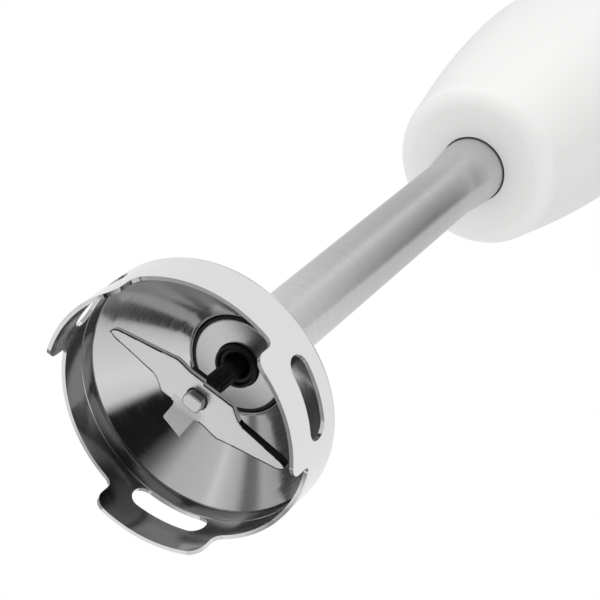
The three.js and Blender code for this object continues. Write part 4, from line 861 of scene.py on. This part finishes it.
class OBJECT_OT_blender_blade(bpy.types.Operator):
    """Builds the blade, its black carrier and the shaft with its riveted head"""

    bl_idname = "object.blender_blade"
    bl_label = "Blade Unit"

    def execute(self, context):
        sizes = context.scene.blender_blade
        turn = Matrix.Rotation(math.radians(sizes.angle), 4, "Z")
        low = corner("blade_carrier", 0)[2] - 0.15 - sizes.thickness
        vertices, faces = blade_plate(sizes, low)
        blade = piece("blade_wings", "blade_unit", vertices, faces, "blade")
        outwards(blade)
        carve(blade, bent_tab(sizes, low), "UNION")
        carve(blade, prism(double_d(5.9, 4.7), low - 9, low + 9))
        blade.data.transform(turn)
        outwards(blade)
        soften(blade, 0.16, 2, 30)
        settle(blade)
        # The second material is painted reflection: dark steel for the underside's bevelled rim.
        dress(blade, "ground_steel", made_once(
            satin_metal, "E6E6E6", "Fine-ground martensitic steel", 0.3, 0.36, (1500, 1500, 1500), 0.01),
            made_once(satin_metal, "2E2E2E", "Steel edge painted dark as a reflection", 0.35, 0.4, (900,) * 3, 0.01),
            made_once(sheared_steel))
        blade_finishes(blade, sizes, low)
        level(blade, 40)

        base, top = corner("blade_carrier", 0)[2], corner("blade_carrier", 1)[2]
        block = prism([(-5.1, -4.6), (2.7, -4.6), (2.7, 4.6), (-5.1, 4.6)], base, base + 2.5, turn)
        soften(block, 0.25, 2)
        settle(block)
        angles = np.linspace(0, 2 * np.pi, 144, endpoint=False)
        flute = 2.65 - 0.22 * (0.5 + 0.5 * np.cos(12 * angles)) ** 2
        sleeve = prism(np.column_stack([flute * np.cos(angles), flute * np.sin(angles)]), base + 1, top)
        carve(block, sleeve, "UNION")
        carve(block, prism(double_d(4.1, 4.1), base - 1, top + 1))
        adopt(block, "carrier_sleeve", "blade_unit", "blade_carrier")
        block.data.shade_smooth()
        dress(level(block, 30), "black_plastic", black_nylon())

        shaft_low, shaft_top = corner("drive_shaft", 0)[2], corner("drive_shaft", 1)[2]
        step = top + 0.3
        shaft = turned("drive_shaft_rod", "blade_unit", [
            (0, low + 0.2, 0), (1.75, low + 0.2, 0), (1.75, step, 0), (2.5, step, 0.3), (2.5, shaft_top, 0.4),
            (0, shaft_top, 0),
        ], "drive_shaft", columns=48)
        head = prism(double_d(5.2, 4, 72), shaft_low, low + sizes.thickness, turn)
        soften(head, 0.45, 4, 60)
        settle(head)
        carve(shaft, head, "UNION")
        shaft.data.shade_smooth()
        dress(level(shaft, 40), "shaft_steel", carbon_steel(0.28, 1500, 0.01))
        return {"FINISHED"}


# ---- Tube and plug ----


class OBJECT_OT_blender_tube(bpy.types.Operator):
    """Builds the steel tube with its flared end, and the plug that goes into the motor body"""

    bl_idname = "object.blender_tube"
    bl_label = "Tube and Plug"

    def execute(self, context):
        radius, wall = context.scene.blender_foot.tube_radius, 0.8
        flare = smooth_curve([
            (radius, 150), (radius + 0.1, 154), (FLARE_RADIUS - 0.15, 163), (FLARE_RADIUS, 166.5),
        ], 16)
        outer = [(*point, 0) for point in flare.tolist()]
        tube = turned("tube_body", "foot", [
            (radius - wall, TUBE_BOTTOM, 0.1), (radius, TUBE_BOTTOM, 0.2), (radius, 100, 0), *outer,
            (FLARE_RADIUS, TUBE_TOP, 0.3), (FLARE_RADIUS - wall, TUBE_TOP, 0.2),
            (FLARE_RADIUS - wall, 166.5, 0), (radius - wall, 152, 0),
        ], "shaft_tube", columns=160)
        finishes = context.scene.blender_finishes
        dress(level(tube, 50), "brushed_steel", made_once(round_brushed_steel, finishes.steel))
        neck, collar, seat, groove = 7.25, 9.2, 7.8, 7.9
        shoulder = TUBE_TOP + 0.3
        plug = turned("plug_body", "foot", [
            (5.6, PLUG_BASE, 0.2), (neck, PLUG_BASE, 0.4), (neck, shoulder, 0), (FLARE_RADIUS, shoulder, 0.3),
            (FLARE_RADIUS, TUBE_TOP + 3, 0.3), (collar, TUBE_TOP + 3.4, 0.2),
            (collar, TUBE_TOP + 6.7, 0.2), (seat, TUBE_TOP + 6.7, 0.2), (seat, TUBE_TOP + 9.3, 0.2),
            (collar, TUBE_TOP + 9.3, 0.2), (collar, LATCH_LEVEL - 2, 0.2), (groove, LATCH_LEVEL - 2, 0.2),
            (groove, LATCH_LEVEL + 2, 0.2), (collar, LATCH_LEVEL + 2, 0.2), (collar, PLUG_TOP - 1.5, 0.5),
            (8, PLUG_TOP, 0.4), (5, PLUG_TOP, 0.2), (5, PLUG_TOP - 15.3, 0.1), (3.5, PLUG_TOP - 15.3, 0.1),
            (3.5, TUBE_TOP, 0), (5.6, TUBE_TOP - 3, 0),
        ], "foot_plug", columns=96)
        dress(level(plug), "grey_plastic", grey_abs())
        thick, centre, middle = 0.85, 8.9, TUBE_TOP + 8
        around = np.linspace(0, 2 * np.pi, 24, endpoint=False)
        ring = [(centre + thick * math.cos(a), middle + thick * math.sin(a), 0) for a in around]
        seal = turned("plug_o_ring", "foot", ring, "plug_seal", columns=96)
        dress(seal, "black_rubber", nitrile())
        return {"FINISHED"}


# ---- Motor body ----

FACE_RADIUS, FACE_FILLET, WIDEST, GRIP_RADIUS, GRIP_HEIGHT, WALL = 23.1, 5.5, 32.95, 29, 342, 2.4
NOSE_SLOPE, NOSE_BEND = 0.237, 0.00135
PAST_SKIN = 60


def body_profile(offset, low, high, count):
    """The body's [r, z] skin between two heights, moved outwards by offset.

    The nose widens from its face along a parabola; the shells follow a smooth curve through the belly, the
    waist of the grip and the top.
    """
    rise = NOSE_TOP - BODY_FACE
    nose_end = min(FACE_RADIUS + NOSE_SLOPE * rise - NOSE_BEND * rise ** 2, WIDEST)
    shells = smooth_curve([
        (nose_end, NOSE_TOP), (WIDEST - 0.05, NOSE_TOP + 14),
        ((WIDEST + GRIP_RADIUS) / 2 + 0.7, (NOSE_TOP + GRIP_HEIGHT) / 2 + 2), (GRIP_RADIUS, GRIP_HEIGHT),
        (CAP_RIM, SHELL_TOP),
    ], 200)
    z = np.linspace(low, high, count)
    up = z - BODY_FACE
    nose = np.minimum(FACE_RADIUS + NOSE_SLOPE * up - NOSE_BEND * up ** 2, WIDEST)
    radius = np.where(z <= NOSE_TOP, nose, np.interp(z, shells[:, 1], shells[:, 0]))
    return np.column_stack([radius + offset, z])


def as_corners(points, fillet=0):
    """Profile points as corners, the first and last with a fillet."""
    corners = [(*point, 0) for point in np.asarray(points).tolist()]
    corners[0] = (*corners[0][:2], fillet)
    corners[-1] = (*corners[-1][:2], fillet)
    return corners


def skin_solid(offset, low, high):
    """Everything inside the body's skin moved outwards by offset, between two heights, as a tool."""
    skin = body_profile(offset, low, high, 60)
    return turned("tool", None, [(0, low, 0), *as_corners(skin), (0, high, 0)], columns=192)


class OBJECT_OT_blender_nose(bpy.types.Operator):
    """Builds the white nose of the motor body and its socket liner"""

    bl_idname = "object.blender_nose"
    bl_label = "Nose and Socket"

    def execute(self, context):
        hole, mouth, socket, liner_wall = 9.95, 9.85, 12.6, 14.5
        floor = BODY_FACE + WALL
        socket_top = floor + 32.3
        outside = body_profile(0, BODY_FACE + 9, NOSE_TOP, 30)
        inside = body_profile(-WALL, floor + 2, NOSE_TOP, 16)[::-1]
        nose = turned("nose_cone_skin", "motor_body", [
            (mouth, floor - 0.4, 0.2), (mouth, BODY_FACE, 0.3), (FACE_RADIUS + 0.6, BODY_FACE, FACE_FILLET),
            *as_corners(outside), *as_corners(inside), (liner_wall, floor, 0.3),
            (liner_wall, socket_top, 0.3), (socket, socket_top, 0.3), (socket, floor, 0.1),
            (hole, floor, 0.2),
        ], "nose_cone", columns=192)
        window = [(-1.4, -3.4), (1.4, -3.4), (1.4, 3.4), (-1.4, 3.4)]
        facing = facing_minus_x(LATCH_LEVEL)
        carve(nose, prism(window, -16, -9, facing))
        carve(nose, prism(circle(14.8, 72), 17.5, PAST_SKIN, facing))
        soften(nose, 0.25, 2, 60)
        dress(level(nose, 50), "white_plastic", white_abs())

        low, top = corner("socket_liner", 0)[2], corner("socket_liner", 1)[2]
        bore, outer = 10.07, 12.25
        liner = turned("socket_liner_tube", "motor_body", [
            (bore, low, 0.3), (outer, low, 0.2), (outer, top, 0.3), (bore, top, 0.4),
        ], "socket_liner", columns=96)
        carve(liner, prism(window, -14, -9, facing))
        dress(level(liner), "black_plastic", black_nylon())
        return {"FINISHED"}


class OBJECT_OT_blender_shells(bpy.types.Operator):
    """Builds the front and rear shells of the motor body and their screws"""

    bl_idname = "object.blender_shells"
    bl_label = "Body Shells"

    def execute(self, context):
        gap, mean_radius = 0.15, 31
        joint = math.degrees(gap / mean_radius)
        outside = body_profile(0, SHELL_BASE, SHELL_TOP, 60)
        inside = body_profile(-WALL, SHELL_BASE, SHELL_TOP, 24)[::-1]
        profile = [*as_corners(outside, 0.3), *as_corners(inside, 0.2)]
        front = turned("front_shell_skin", "motor_body", profile, "front_shell", columns=97,
                       span=(-90 + joint, 90 - joint))
        soften(front, 0.25, 2, 60)
        dress(level(front, 50), "white_plastic", white_abs())

        rear = turned("rear_shell_skin", "motor_body", profile, "rear_shell", columns=97,
                      span=(90 + joint, 270 - joint))
        window_low, window_high = corner("button_bezel", 0)[2], corner("button_bezel", 1)[2]
        length = window_high - window_low + 0.5
        middle = facing_minus_x((window_low + window_high) / 2)
        carve(rear, prism(rounded_bar(length, 20.5, 7.2), 15, PAST_SKIN, middle))
        for node in ("shell_screw_1", "shell_screw_2"):
            low, high = corner(node, 0), corner(node, 1)
            y, z = (low[1] + high[1]) / 2, (low[2] + high[2]) / 2
            hole = Matrix.Translation((0, y, 0)) @ facing_minus_x(z)
            carve(rear, prism(circle(6.2), 9.9, PAST_SKIN, hole))
            cup = prism(circle(8.6), 4, 14, hole)
            carve(cup, skin_solid(-0.6, SHELL_BASE, SHELL_TOP), "INTERSECT")
            carve(cup, prism(circle(6.2), 9.9, PAST_SKIN, hole))
            carve(cup, prism(circle(3.4, 24), -5, PAST_SKIN, hole))
            carve(rear, cup, "UNION")
            screw = prism(circle(5.6), 10, 12, hole)
            soften(screw, 0.4, 3)
            settle(screw)
            carve(screw, prism(cross_outline(3.2, 0.7), 11, 13, hole))
            carve(screw, prism(circle(2.7, 24), -1, 11, hole), "UNION")
            adopt(screw, node + "_head", "motor_body", node)
            dress(level(screw), "shaft_steel", carbon_steel(0.28, 1500, 0.01))
        soften(rear, 0.25, 2, 60)
        dress(level(rear, 50), "white_plastic", white_abs())
        return {"FINISHED"}


def rounded_bar(length, width, radius, steps=10):
    """A rectangle's outline with round corners, length along X."""
    x, y = length / 2, width / 2
    return rounded([(x, -y, radius), (x, y, radius), (-x, y, radius), (-x, -y, radius)], steps)


def cross_outline(length, width):
    """The outline of a cross-shaped recess: the three corners round one arm, turned to each of the four."""
    a, b = length / 2, width / 2
    arm = np.array([(a, -b), (a, b), (b, b)])
    turn = np.array([(0, 1), (-1, 0)])
    return np.concatenate([arm @ np.linalg.matrix_power(turn, quarter) for quarter in range(4)])


class OBJECT_OT_blender_controls(bpy.types.Operator):
    """Builds the bezel, the two buttons and the foot release"""

    bl_idname = "object.blender_controls"
    bl_label = "Buttons"

    def execute(self, context):
        window_low, window_high = corner("button_bezel", 0)[2], corner("button_bezel", 1)[2]
        middle = (window_low + window_high) / 2
        bezel = prism(rounded_bar(window_high - window_low, 20, 7), 15, PAST_SKIN, facing_minus_x(middle))
        carve(bezel, skin_solid(0.5, window_low - 4, window_high + 4), "INTERSECT")
        carve(bezel, skin_solid(-WALL, window_low - 6, window_high + 6))
        buttons = []
        for node in ("power_button", "turbo_button"):
            low, high = corner(node, 0), corner(node, 1)
            height, length = (low[2] + high[2]) / 2, high[2] - low[2]
            facing = facing_minus_x(height)
            carve(bezel, prism(stadium(length + 0.7, 13.7, 72), 15, PAST_SKIN, facing))
            button = prism(stadium(length, 13, 96), 23.5, PAST_SKIN, facing)
            carve(button, skin_solid(1.75, low[2] - 9, high[2] + 9), "INTERSECT")
            button.name = node + "_cap"
            buttons.append((button, node))
        adopt(bezel, "bezel_panel", "motor_body", "button_bezel")
        soften(bezel, 0.35, 3, 40)
        dress(level(bezel, 40), "grey_plastic", grey_abs())
        for button, node in buttons:
            adopt(button, node + "_cap", node.split("_")[0], node)
            soften(button, 0.8, 4, 40)
            dress(level(button, 40), "white_plastic", white_abs())

        inner = -corner("release_button", 1)[0]
        release = prism(circle(14, 96), inner, PAST_SKIN, facing_minus_x(LATCH_LEVEL))
        carve(release, skin_solid(1.15, BODY_FACE + 4, NOSE_TOP), "INTERSECT")
        adopt(release, "release_cap", "release", "release_button")
        soften(release, 0.7, 4, 40)
        dress(level(release, 40), "grey_plastic", grey_abs())
        return {"FINISHED"}


class OBJECT_OT_blender_top(bpy.types.Operator):
    """Builds the top cap, the speed dial and the cord gland"""

    bl_idname = "object.blender_top"
    bl_label = "Top Cap and Dial"

    def execute(self, context):
        base = SHELL_TOP + 0.3
        dome = smooth_curve([
            (CAP_RIM, base + 1), (CAP_RIM, base + 4), (CAP_RIM - 0.9, base + 9), (CAP_RIM - 2.8, base + 13),
            (CAP_RIM - 5.4, CAP_TOP - 1.2), (21, CAP_TOP - 0.02),
        ], 28)
        recess, bore, lip, floor = 11.6, 3.4, CAP_RIM - 2.7, CAP_TOP - 3
        cap = turned("top_cap_skin", "motor_body", [
            (CAP_RIM, base, 0.3), *as_corners(dome), (recess, CAP_TOP, 0.4), (recess, floor, 0.2),
            (bore, floor, 0.1), (bore, floor - WALL, 0.1), (20, floor - WALL, 0.5),
            (lip - 3.6, base + 8.5, 0.5), (lip - 1.6, base + 4, 0.5), (lip - 1.6, base - 5, 0.2),
            (lip, base - 5, 0.2), (lip, base, 0.1),
        ], "top_cap", columns=192)
        gland_x = (corner("cord_gland", 0)[0] + corner("cord_gland", 1)[0]) / 2
        aside = Matrix.Translation((gland_x, 0, 0))
        carve(cap, prism(circle(11.5, 96), base + 1, CAP_TOP + 9, aside))
        soften(cap, 0.25, 2, 60)
        dress(level(cap, 50), "white_plastic", white_abs())

        low, high = corner("speed_dial", 0)[2], corner("speed_dial", 1)[2]
        angles = np.linspace(0, 2 * np.pi, 288, endpoint=False)
        radius, depth, grooves = 11.1, 0.45, 24
        wave = radius - depth * (0.5 + 0.5 * np.cos(grooves * angles)) ** 4
        dial = prism(np.column_stack([wave * np.cos(angles), wave * np.sin(angles)]), low, high)
        carve(dial, prism(circle(6.4), low - 1, high - 1.5))
        pointer = Matrix.Translation((-7.2, 0, 0))
        carve(dial, prism(rounded_bar(5, 1.2, 0.55, 6), high - 0.6, high + 1, pointer))
        adopt(dial, "speed_dial_knob", "dial", "speed_dial")
        soften(dial, 0.4, 3, 50)
        dress(level(dial, 40), "grey_plastic", grey_abs())

        bottom, top = corner("cord_gland", 0)[2], corner("cord_gland", 1)[2]
        bore, outer, root, pitch = 3.2, 5.45, 4.9, 1.9
        ribs = []
        for step in range(3):
            rise = CAP_TOP + 0.8 + step * pitch
            ribs += [
                (5.35, rise, 0.15), (root, rise + 0.2, 0.1), (root, rise + 0.9, 0.1), (5.3, rise + 1.1, 0.15)]
        gland = turned("cord_gland_sleeve", "motor_body", [
            (bore, bottom, 0.2), (outer, bottom, 0.3), (outer, CAP_TOP + 0.3, 0), *ribs, (4.6, top, 0.5),
            (bore, top, 0.3),
        ], "cord_gland", columns=96)
        gland.data.transform(Matrix.Translation((gland_x * MM, 0, 0)))
        dress(level(gland), "grey_plastic", grey_abs())
        return {"FINISHED"}


# ---- Pieces kept from the CAD model ----


class OBJECT_OT_blender_inside(bpy.types.Operator):
    """Gives the motor, drive and switch parts that keep their CAD shape their materials"""

    bl_idname = "object.blender_inside"
    bl_label = "Inner Parts"

    def execute(self, context):
        for finish, nodes in (
            (made_once(laminated_iron), ("rotor_core", "stator_core")),
            (made_once(enamelled_copper), (
                "rotor_coil_lower", "rotor_coil_upper", "field_coil_rear", "field_coil_front")),
            (made_once(sintered_bronze), (
                "lower_bush", "upper_bush", "brush_holder_left", "brush_holder_right")),
            (nitrile(), ("motor_mount_lower", "motor_mount_upper")),
            (black_nylon(), (
                "foot_coupling", "motor_coupling", "cooling_fan", "power_plunger", "turbo_plunger",
                "power_switch", "turbo_switch", "dial_spindle", "speed_regulator")),
            (grey_abs(), ("shaft_guide", "cord_clamp")),
            (carbon_steel(0.32, 300, 0.05), (
                "shaft_clip", "armature_shaft", "lower_ball_bearing", "upper_ball_bearing",
                "brush_spring_left", "brush_spring_right", "release_latch", "release_spring")),
            (made_once(satin_metal, "A9ABAE", "Die-cast aluminium", 0.4, 0.55, (500,) * 3), (
                "lower_bracket", "upper_bracket")),
            (made_once(satin_metal, "C98B62", "Turned copper", 0.2, 0.3, (40, 40, 900)), ("commutator",)),
            (made_once(moulded_plastic, "Pressed carbon", "2A2A2C", 0.45, 0.65, 0.15), (
                "carbon_brush_left", "carbon_brush_right")),
            (made_once(moulded_plastic, "Green-coated glass epoxy", "1E5B3A", 0.25, 0.4, 0.6), (
                "circuit_board",)),
        ):
            for node in nodes:
                self.coat(node, finish)
        return {"FINISHED"}

    def coat(self, node, finish):
        """Gives a CAD node its material."""
        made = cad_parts[node]
        made.data.materials.clear()
        made.data.materials.append(finish)


# ---- Studio ----

LENS, SENSOR = 122.9, 36
CAMERA_PLACE, CAMERA_BACK, CAMERA_UP = (0.3141, -0.0025, -0.3361), (0.614, 0, -0.789), (0.501, -0.773, 0.390)
SUNS = (("Key", (0.9, -0.7, 0.4), 0.7), ("Fill", (-0.6, 0.9, -0.2), 0.15))
SUN_WIDTH = 50
FLOOR_REACH, FLOOR_LEVEL = 3000, -0.05

# The greys round the camera's axis that polished steel mirrors, from -90 degrees on, each at its angle.
ROOM_START, ROOM_SWEEP = -90, 210
ROOM_BANDS = (
    (0, "A6A6A6"), (18, "B2B2B2"), (23, "747474"), (29, "6C6C6C"), (34, "B4B4B4"), (43, "CCCCCC"),
    (47, "DEDEDE"), (51, "C6C6C6"), (70, "BCBCBC"), (80, "686868"), (87, "1C1C1C"), (109, "181818"),
    (114, "DADADA"), (125, "E8E8E8"), (150, "D4D4D4"), (172, "A2A2A2"), (210, "8C8C8C"))

# The greys of the curved screen round the tube, from -150 degrees on.
SCREEN_REACH, SCREEN_RADIUS, SCREEN_LOW, SCREEN_HIGH = 150, 110, 195, 420
SCREEN_BANDS = (
    (0, "D8D8D8"), (90, "C2C2C2"), (114, "E2E2E2"), (150, "B2B2B2"), (180, "929292"), (206, "686868"),
    (209, "CACACA"), (300, "DEDEDE"))


class OBJECT_OT_blender_stage(bpy.types.Operator):
    """Builds the camera, the pale floor, the bright surround and the lights"""

    bl_idname = "object.blender_stage"
    bl_label = "Studio"

    def execute(self, context):
        scene = context.scene
        self.camera(scene)
        self.floor()
        self.surround(scene)
        self.lights()
        scene.view_settings.view_transform = "Standard"
        scene.view_settings.look = "None"
        return {"FINISHED"}

    def camera(self, scene):
        """A long lens below the bell, looking up along the blender with its tube towards the upper right."""
        data = bpy.data.cameras.new("Camera")
        data.lens, data.sensor_width = LENS, SENSOR
        data.clip_start, data.clip_end = 0.01, 20
        made = bpy.data.objects.new("Camera", data)
        scene.collection.objects.link(made)
        back = Vector(CAMERA_BACK).normalized()
        right = Vector(CAMERA_UP).cross(back).normalized()
        turn = Matrix((right, back.cross(right), back)).transposed().to_4x4()
        made.matrix_world = Matrix.Translation(CAMERA_PLACE) @ turn
        scene.camera = made

    def floor(self):
        """A wide pale sheet at the height that the blender stands on. It is clear from below."""
        far = FLOOR_REACH
        corners = [(x, y, FLOOR_LEVEL) for x, y in ((-far, -far), (far, -far), (far, far), (-far, far))]
        made = piece("floor", None, corners, [(0, 1, 2, 3)])
        finish, tree = material("Pale studio sheet")
        side = add(tree, "ShaderNodeNewGeometry")
        sheet = add(tree, "ShaderNodeBsdfDiffuse", {"Color": linear("F4F4F4")})
        clear = add(tree, "ShaderNodeBsdfTransparent")
        close(tree, add(tree, "ShaderNodeMixShader", {
            0: side.outputs["Backfacing"], 1: sheet.outputs[0], 2: clear.outputs[0]}))
        made.data.materials.append(finish)
        self.stage(made, "glossy")

    def surround(self, scene):
        """A white surround for the camera, a banded one that polished steel mirrors, a soft one for light.

        The first mirroring sees bands of grey round the camera's axis below the horizon and at least a bright
        grey above it; a second one, inside the bell, sees a dark room with one lighter side. Matt surfaces
        are lit by a soft gradient, brighter from below.
        """
        world = bpy.data.worlds.new("Studio")
        world.use_nodes = True
        tree = world.node_tree
        tree.nodes.clear()
        rays = add(tree, "ShaderNodeLightPath")
        generated = add(tree, "ShaderNodeTexCoord").outputs["Generated"]
        x, y, z = add(tree, "ShaderNodeSeparateXYZ", {0: generated}).outputs

        def step(value, low, high, first, last):
            """A soft step from first to last as the value goes from low to high."""
            return ranged(tree, value, low, high, first, last, interpolation_type="SMOOTHSTEP")

        def choose(share, first, last):
            """The first value, or the last where the share is 1."""
            return add(tree, "ShaderNodeMix", {"Factor": share, 2: first, 3: last}).outputs[0]

        angle = maths(tree, "ARCTAN2", y, maths(tree, "ADD", x, CAMERA_BACK[0]))
        bands = self.ramp(tree, angle, ROOM_START, ROOM_SWEEP, ROOM_BANDS)
        mirrored = maths(tree, "MAXIMUM", bands, step(z, 0.15, 0.35, 0, 0.92))
        patch = step(step(y, -0.62, -0.5, 1, 0), 0, 1, 0.06, 0.5)
        mirrored_again = maths(tree, "ADD", patch, step(y, 0.0, 0.6, 0, 0.3))
        soft = maths(tree, "MULTIPLY", step(z, -0.5, 0.7, 0.97, 0.62), step(y, -0.8, 0.8, 1.06, 0.9))
        seen = choose(step(rays.outputs["Glossy Depth"], 1.4, 1.6, 0, 1), mirrored, mirrored_again)
        seen = choose(rays.outputs["Is Diffuse Ray"], seen, soft)
        seen = choose(rays.outputs["Is Camera Ray"], seen, 1.0)
        room = add(tree, "ShaderNodeBackground", {"Color": (1, 1, 1, 1), "Strength": seen})
        add(tree, "ShaderNodeOutputWorld", {"Surface": room.outputs[0]})
        scene.world = world

    def lights(self):
        """Two wide suns that reflections don't see, and the screen and card that only they see."""
        for name, place, power in SUNS:
            data = bpy.data.lights.new(name, "SUN")
            data.energy, data.angle = power, math.radians(SUN_WIDTH)
            made = bpy.data.objects.new(name, data)
            bpy.context.scene.collection.objects.link(made)
            made.location = place
            made.rotation_mode = "QUATERNION"
            made.rotation_quaternion = (-Vector(place)).to_track_quat("-Z", "Y")
            made.visible_glossy = False
        self.tube_card()
        self.blade_card()

    def ramp(self, tree, angle, start, sweep, stops):
        """Greys laid round an angle from start over a sweep, in degrees, each stop counted from the start."""
        share = ranged(tree, angle, math.radians(start), math.radians(start + sweep), 0, 1)
        made = add(tree, "ShaderNodeValToRGB", {0: share})
        for _ in stops[2:]:
            made.color_ramp.elements.new(0.5)
        for element, (place, _) in zip(made.color_ramp.elements, stops):
            element.position = place / sweep
        for element, (_, code) in zip(made.color_ramp.elements, stops):
            element.color = linear(code)
        return made.outputs[0]

    def tube_card(self):
        """A curved screen round the tube, part of a cylinder, with light and dark bands along the tube."""
        columns = 101
        angles = np.radians(np.linspace(-SCREEN_REACH, SCREEN_REACH, columns))
        edges = np.array([(SCREEN_RADIUS, SCREEN_LOW), (SCREEN_RADIUS, SCREEN_HIGH)], float)
        finish, tree = material("Banded screen")
        place = add(tree, "ShaderNodeSeparateXYZ", {0: coordinates(tree)}).outputs
        angle = maths(tree, "ARCTAN2", place[1], place[0])
        bands = self.ramp(tree, angle, -SCREEN_REACH, 2 * SCREEN_REACH, SCREEN_BANDS)
        close(tree, add(tree, "ShaderNodeEmission", {"Color": bands, "Strength": 1.0}))
        self.card("screen_tube", revolve(edges, angles).reshape(-1, 3), grid_faces(columns, 2), finish)

    def blade_card(self):
        """A pale card below the bell that lights the flat underside of the blade."""
        near, far, side, level_below = -36, -90, 38, -50
        finish, tree = material("Pale card")
        close(tree, add(tree, "ShaderNodeEmission", {"Color": linear("F2F2F2"), "Strength": 1.0}))
        corners = [(far, -side, level_below), (near, -side, level_below), (near, side, level_below),
                   (far, side, level_below)]
        self.card("card_blade", corners, [(0, 1, 2, 3)], finish)

    def card(self, name, vertices, faces, finish):
        """A card that only reflections see."""
        card = piece(name, None, vertices, faces)
        card.data.materials.append(finish)
        self.stage(card, "camera")

    def stage(self, made, also):
        """Hides a piece of the stage from shadow, diffuse and transmission rays and one more kind."""
        for ray in ("shadow", "diffuse", "transmission", also):
            setattr(made, "visible_" + ray, False)


# ---- Add-on ----

STEPS = (
    "blender_stage", "blender_guard", "blender_bearing", "blender_blade", "blender_tube", "blender_nose",
    "blender_shells", "blender_controls", "blender_top", "blender_inside",
)


class VIEW3D_PT_blender(bpy.types.Panel):
    """Lists the blender's pieces in the sidebar"""

    bl_label = "Immersion Blender"
    bl_idname = "VIEW3D_PT_blender"
    bl_space_type = "VIEW_3D"
    bl_region_type = "UI"
    bl_category = "Immersion Blender"

    def draw(self, context):
        for step in STEPS:
            self.layout.operator(f"object.{step}")
        scene = context.scene
        for group in (scene.blender_foot, scene.blender_blade, scene.blender_finishes):
            for name in group.bl_rna.properties.keys():
                if name not in ("rna_type", "name"):
                    self.layout.prop(group, name)


CLASSES = (
    FootSizes, BladeSizes, Finishes, OBJECT_OT_blender_guard, OBJECT_OT_blender_bearing,
    OBJECT_OT_blender_blade, OBJECT_OT_blender_tube, OBJECT_OT_blender_nose, OBJECT_OT_blender_shells,
    OBJECT_OT_blender_controls, OBJECT_OT_blender_top, OBJECT_OT_blender_inside, OBJECT_OT_blender_stage,
    VIEW3D_PT_blender,
)
GROUPS = {"blender_foot": FootSizes, "blender_blade": BladeSizes, "blender_finishes": Finishes}


def register():
    """Registers the classes and puts the property groups on the scene."""
    for cls in CLASSES:
        bpy.utils.register_class(cls)
    for name, group in GROUPS.items():
        setattr(bpy.types.Scene, name, bpy.props.PointerProperty(type=group))


def unregister():
    """Takes back what register did, in reverse order."""
    for name in GROUPS:
        delattr(bpy.types.Scene, name)
    for cls in reversed(CLASSES):
        bpy.utils.unregister_class(cls)


def main():
    """Builds everything in order."""
    register()
    for step in STEPS:
        getattr(bpy.ops.object, step)()


if __name__ == "__main__":
    main()
